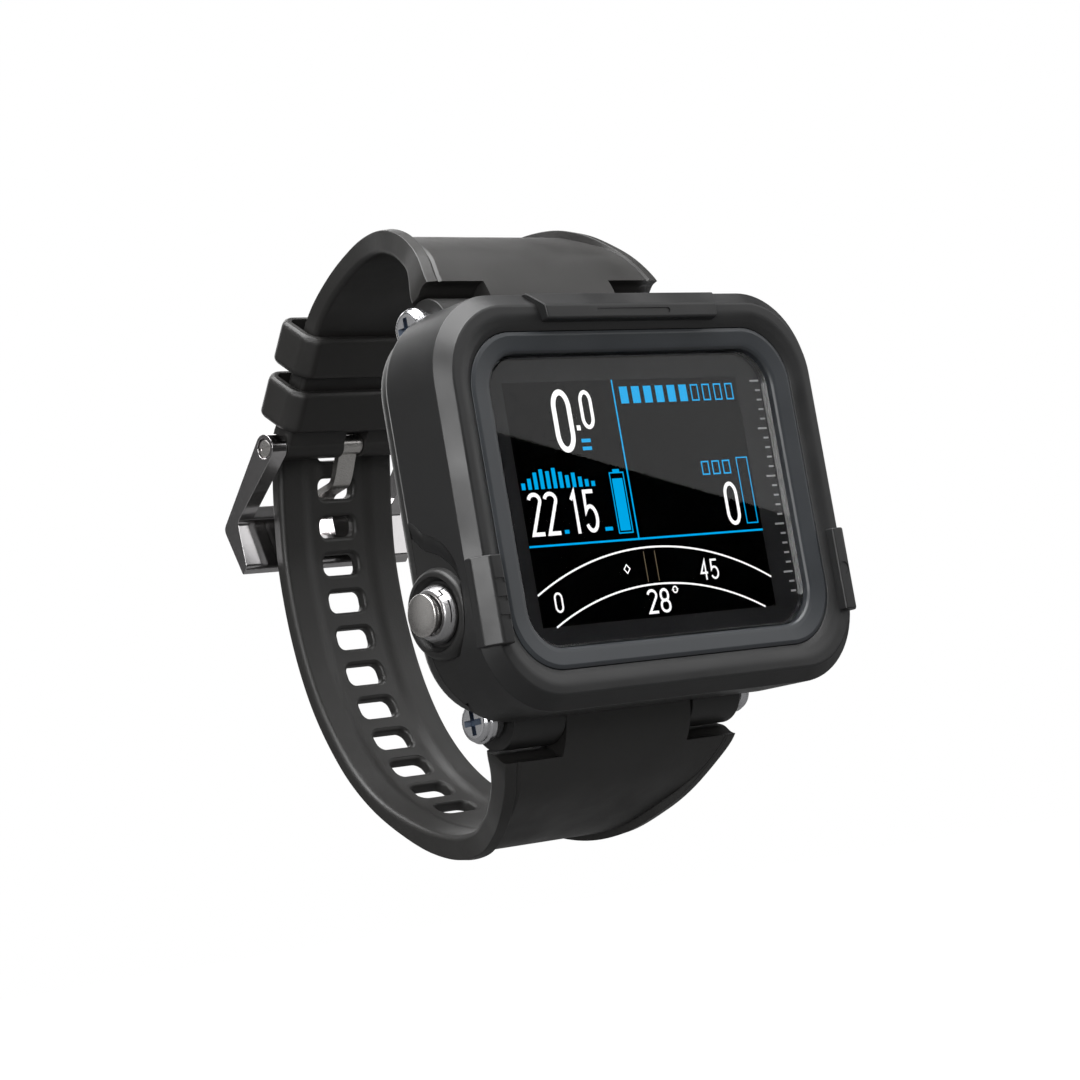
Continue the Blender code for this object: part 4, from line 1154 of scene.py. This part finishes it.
def strap_section(path, distance, edge, sunk, channel):
    """One section across a strap: an outer panel sunk between two bevelled ridges, and an inner channel."""
    point, _, normal, half = path.at(distance)
    inner = -edge
    far = min(6.6, half - 1.7)
    right = [
        ((far - 1.3, inner + channel), 0.9),
        ((far, inner), 0.9),
        ((half - 0.5, inner), 0.35),
        ((half, inner + 0.5), 0.35),
        ((half, -0.22), 0.15),
        ((half - 1.8, 0.0), 0.12),
        ((half - 2.15, -sunk - 0.3), 0.1),
        ((half - 2.6, -sunk), 0.15),
    ]
    left = [((-x, rise), radius) for (x, rise), radius in reversed(right)]
    return [point + Vector((x, 0, 0)) + normal * rise for x, rise in soften(right + left, steps=3)]


def make_strap(name, path, sizes, stations):
    loops = []
    for i in range(stations + 1):
        distance = path.length * i / stations
        loops.append(strap_section(path, distance, *sizes(distance)))
    return loft(name, loops)


def fit_to_lug(strap, end):
    """The strap wraps its pin between the lug knuckles. Beside them it ends in a slanted face."""
    steps = []
    outline = soften([((y, end * z), 0.5) for y, z in LUG_NOTCH], steps=3)
    for side in (1, -1):
        ends = sorted((side * 12.0, side * 27.0))
        steps.append(cut(extruded(f"notch_{side}", outline, *ends)))
    steps.append(fuse(cylinder("barrel", (0, LUG_Y, end * LUG_Z), 4.0, 23.8, rounding=0.3)))
    steps.append(cut(cylinder("bore", (0, LUG_Y, end * LUG_Z), 1.9, 40)))
    combine(strap, *steps)

    def beside_notch(middle, edge):
        return 12.2 < abs(middle.x) < 21.9 and abs(middle.z) > 30.5 and middle.y < -3.0

    round_edges(strap, 0.3, beside_notch, 40, 2)


def slot_cutter(name, path, distance, edge, sunk, channel):
    """A rounded slot whose rims flare out at both faces."""
    point, along, normal, _ = path.at(distance)
    rim = 0.55
    levels = []
    for face, way in ((-sunk, -1), (channel - edge, 1)):
        flares = [(0.6, rim), (0.0, rim), (-0.12, 0.62 * rim - 0.12), (-0.3, 0.08), (-0.55, 0.0)]
        rows = [(face - way * rise, flare) for rise, flare in flares]
        levels += rows if way < 0 else rows[::-1]
    loops = []
    for rise, flare in levels:
        ring = rounded_rectangle(3.3 + flare, 1.6 + flare, 1.15 + flare, 6)
        loops.append([point + Vector((x, 0, 0)) + along * s + normal * rise for x, s in ring])
    return loft(name, loops)


def make_straps():
    upper, lower = Path(UPPER_PATH, -1), Path(LOWER_PATH, 1)

    def upper_sizes(distance):
        edge = 5.2 - 1.4 * ease(distance, 4, 15) - 0.6 * ease(distance, 15, 45)
        return edge, 1.1 * ease(distance, 10, 20) * (1 - ease(distance, 38, 50)), 0.0

    def lower_sizes(distance):
        edge = 5.2 - 1.4 * ease(distance, 4, 15) - 1.5 * ease(distance, 30, 62)
        edge -= 0.2 * ease(distance, lower.length - 9, lower.length)
        channel = 0.35 * ease(distance, 24, 34) * (1 - ease(distance, lower.length - 22, lower.length - 14))
        return edge, 1.0 * ease(distance, 10, 20) * (1 - ease(distance, 44, 58)), channel

    buckle_side = make_strap("strap_upper", upper, upper_sizes, 96)
    fit_to_lug(buckle_side, 1)
    low, high = BUCKLE_PIN - Vector((2.1, 3.0, 4.0)), BUCKLE_PIN + Vector((2.1, 4.0, 2.4))
    combine(
        buckle_side,
        fuse(cylinder("pin_tube", BUCKLE_PIN, 1.9, 25.8, rounding=0.25)),
        cut(block("tongue_gap", low, high)),
        cut(cylinder("pin_bore", BUCKLE_PIN, 1.05, 40, steps=32)),
    )
    keep(buckle_side, "strap_silicone", "case", "strap_buckle_side", angle=34)

    hole_side = make_strap("strap_lower", lower, lower_sizes, 190)
    fit_to_lug(hole_side, -1)
    in_use = lower.nearest(Vector((0, 47.0, 15.2)))
    cutters = []
    for index in range(-4, 11):
        distance = in_use - index * SLOT_PITCH
        cutters.append(cut(slot_cutter(f"slot_{index}", lower, distance, *lower_sizes(distance))))
    combine(hole_side, *cutters)
    keep(hole_side, "strap_silicone", "case", "strap_hole_side", angle=34)


def make_keepers():
    """Two loops round both strap layers, on the straight stretch above the buckle pin."""
    turn = Matrix((Vector((1, 0, 0)), OUTWARD, STRAIGHT)).transposed().to_4x4()
    place = Matrix.Translation(BUCKLE_PIN) @ turn

    def section(half_x, low, high, chamfer, along):
        corners = [
            (half_x, low + chamfer),
            (half_x, high - chamfer),
            (half_x - chamfer, high),
            (chamfer - half_x, high),
            (-half_x, high - chamfer),
            (-half_x, low + chamfer),
            (chamfer - half_x, low),
            (half_x - chamfer, low),
        ]
        outline = soften([(corner, 0.75) for corner in corners], steps=4)
        return [place @ Vector((x, rise, along)) for x, rise in outline]

    for name, node, body, start in (
        ("loop_fixed", "keeper_fixed", "case", 3.6),
        ("loop_free", "keeper_free", "free_keeper", 12.4),
    ):
        end = start + 6.6
        profile = [
            ((14.5, -2.8, 5.4, 1.6, start), 0.2),
            ((15.0, -3.3, 5.9, 1.8, start + 0.5), 0.6),
            ((15.0, -3.3, 5.9, 1.8, end - 0.5), 0.6),
            ((14.5, -2.8, 5.4, 1.6, end), 0.2),
            ((13.5, -1.95, 4.75, 0.9, end), 0.2),
            ((13.5, -1.95, 4.75, 0.9, start), 0.2),
        ]
        keeper = loft(name, [section(*row) for row in soften(profile, steps=3)], ring=True)
        keep(keeper, "strap_silicone", body, node, angle=34)


# ---------------- buckle


def make_buckle():
    pin_y, pin_z = BUCKLE_PIN.y, BUCKLE_PIN.z
    outline = arc(pin_y, pin_z, 2.1, 2.1, 52, 232, 24)
    elbow = [((50.2, 11.3), 0.6), ((49.7, 4.3), 0.5), ((50.9, 3.2), 0.5), ((53.9, 10.9), 0.9)]
    outline += [tuple(point) for point in soften([(outline[-1], 0)] + elbow + [(outline[0], 0)], False)][1:-1]
    buckle = extruded("buckle_body", outline, -16.0, 16.0)
    arm = Vector((0, 12.7, -9.9)).normalized()
    across = Vector((0, 9.9, 12.7)).normalized()
    turn = Matrix((Vector((1, 0, 0)), across, -arm)).transposed().to_4x4()
    steps = []
    for half, near, far in ((13.3, 5.0, -12.4), (2.3, -11.0, -15.6)):
        opening = block(f"opening_{half}", (-half, -4, far), (half, 6, near))
        steps.append(cut(transformed(opening, Matrix.Translation(BUCKLE_PIN) @ turn)))
    steps.append(cut(cylinder("pin_bore", BUCKLE_PIN, 1.1, 40, steps=40)))
    for side in (1, -1):
        seat = cylinder(f"seat_{side}", BUCKLE_PIN + Vector((side * 16.0, 0, 0)), 1.6, 1.6, steps=40)
        steps.append(cut(seat))
    combine(buckle, *steps)
    round_edges(buckle, 0.28, None, 30, 3)
    keep(buckle, "steel_polished", "buckle_swing", "buckle_frame")

    # The hinge pin and the screw in its other end have the same slotted head.
    head = [(1.1, 15.9, 0), (1.3, 15.9, 0.1), (1.3, 15.4, 0.1)]
    for name, node, shank, tip, axis in (
        ("hinge_pin", "buckle_pin", 0.8, -15.0, "-X"),
        ("hinge_screw", "buckle_pin_screw", 0.3, 13.0, "X"),
    ):
        pin = turned(name, [*head, (shank, 15.4, 0), (shank, tip, 0)], BUCKLE_PIN, axis, 40)
        side = 1 if axis == "X" else -1
        ends = sorted((side * 15.62, side * 16.4))
        low = (ends[0], pin_y - 1.6, pin_z - 0.21)
        steps = [cut(block("slot", low, (ends[1], pin_y + 1.6, pin_z + 0.21)))]
        if side < 0:
            thread = cylinder("thread", BUCKLE_PIN + Vector((14, 0, 0)), 0.5, 4, steps=16)
            steps.append(cut(thread))
        combine(pin, *steps)
        keep(pin, "steel_satin", "case", node)

    line = [(40.8, 20.8), (43.3, 16.4), (44.2, 15.3), (47.8, 14.7), (48.8, 14.0), (50.9, 11.4)]
    line = [tuple(p) for p in soften([(point, 0.8) for point in line], False)]
    sides = ([], [])
    for i, point in enumerate(line):
        before, after = Vector(line[max(i - 1, 0)]), Vector(line[min(i + 1, len(line) - 1)])
        along = (after - before).normalized()
        for sign, row in zip((1, -1), sides):
            row.append((point[0] - sign * along.y * 0.5, point[1] + sign * along.x * 0.5))
    tongue = extruded("tongue_plate", sides[0] + sides[1][::-1], -1.7, 1.7)
    combine(
        tongue,
        fuse(cylinder("tongue_tube", BUCKLE_PIN, 1.5, 3.8, rounding=0.15)),
        cut(cylinder("tongue_bore", BUCKLE_PIN, 1.05, 10, steps=40)),
    )
    round_edges(tongue, 0.12, lambda middle, edge: (middle - BUCKLE_PIN).yz.length > 2.0, 40, 2)
    keep(tongue, "steel_satin", "tongue", "buckle_tongue")


def make_sensor_cover():
    x, z = SENSOR_XZ
    profile = [(5.0, 0.85, 0), (5.3, 0.85, 0.1), (5.6, 0.55, 0.15), (5.6, 0, 0.1), (5.3, 0, 0)]
    cover = turned("port_cover", profile, (x, -0.9, z), "Y")
    holes = []
    for i in range(4):
        angle = pi / 2 * i
        place = (x + 2.2 * cos(angle), -0.5, z + 2.2 * sin(angle))
        holes.append(cut(cylinder(f"hole_{i}", place, 0.7, 3, "Y", 32)))
    combine(cover, *holes)
    round_edges(cover, 0.08, None, 50, 2)
    keep(cover, "case_plastic", "case", "sensor_cover")


make_case()
make_bumper()
make_front()
make_display()
make_button("menu_button", -1, "menu_press")
make_button("select_button", 1, "select_press")
make_lug_screws()
make_straps()
make_keepers()
make_buckle()
make_sensor_cover()

# ---------------- pieces carried over from the CAD


def dress_nodes():
    """Every CAD node gets its slot's material, softened edges and smooth shading."""
    for node in NODES.values():
        name = node.data.materials[0].name if node.data.materials else ""
        key = next(key for key in MATERIALS if name.endswith(key) or key in name)
        node.data.materials.clear()
        node.data.materials.append(MATERIALS[key])
        node.data.shade_smooth()
        weld = node.modifiers.new("weld", "WELD")
        weld.merge_threshold = WELD * MM
        bevel = node.modifiers.new("edges", "BEVEL")
        bevel.width = 0.08 * MM
        bevel.segments = 2
        bevel.limit_method = "ANGLE"
        bevel.angle_limit = radians(40)
        bevel.harden_normals = True


dress_nodes()
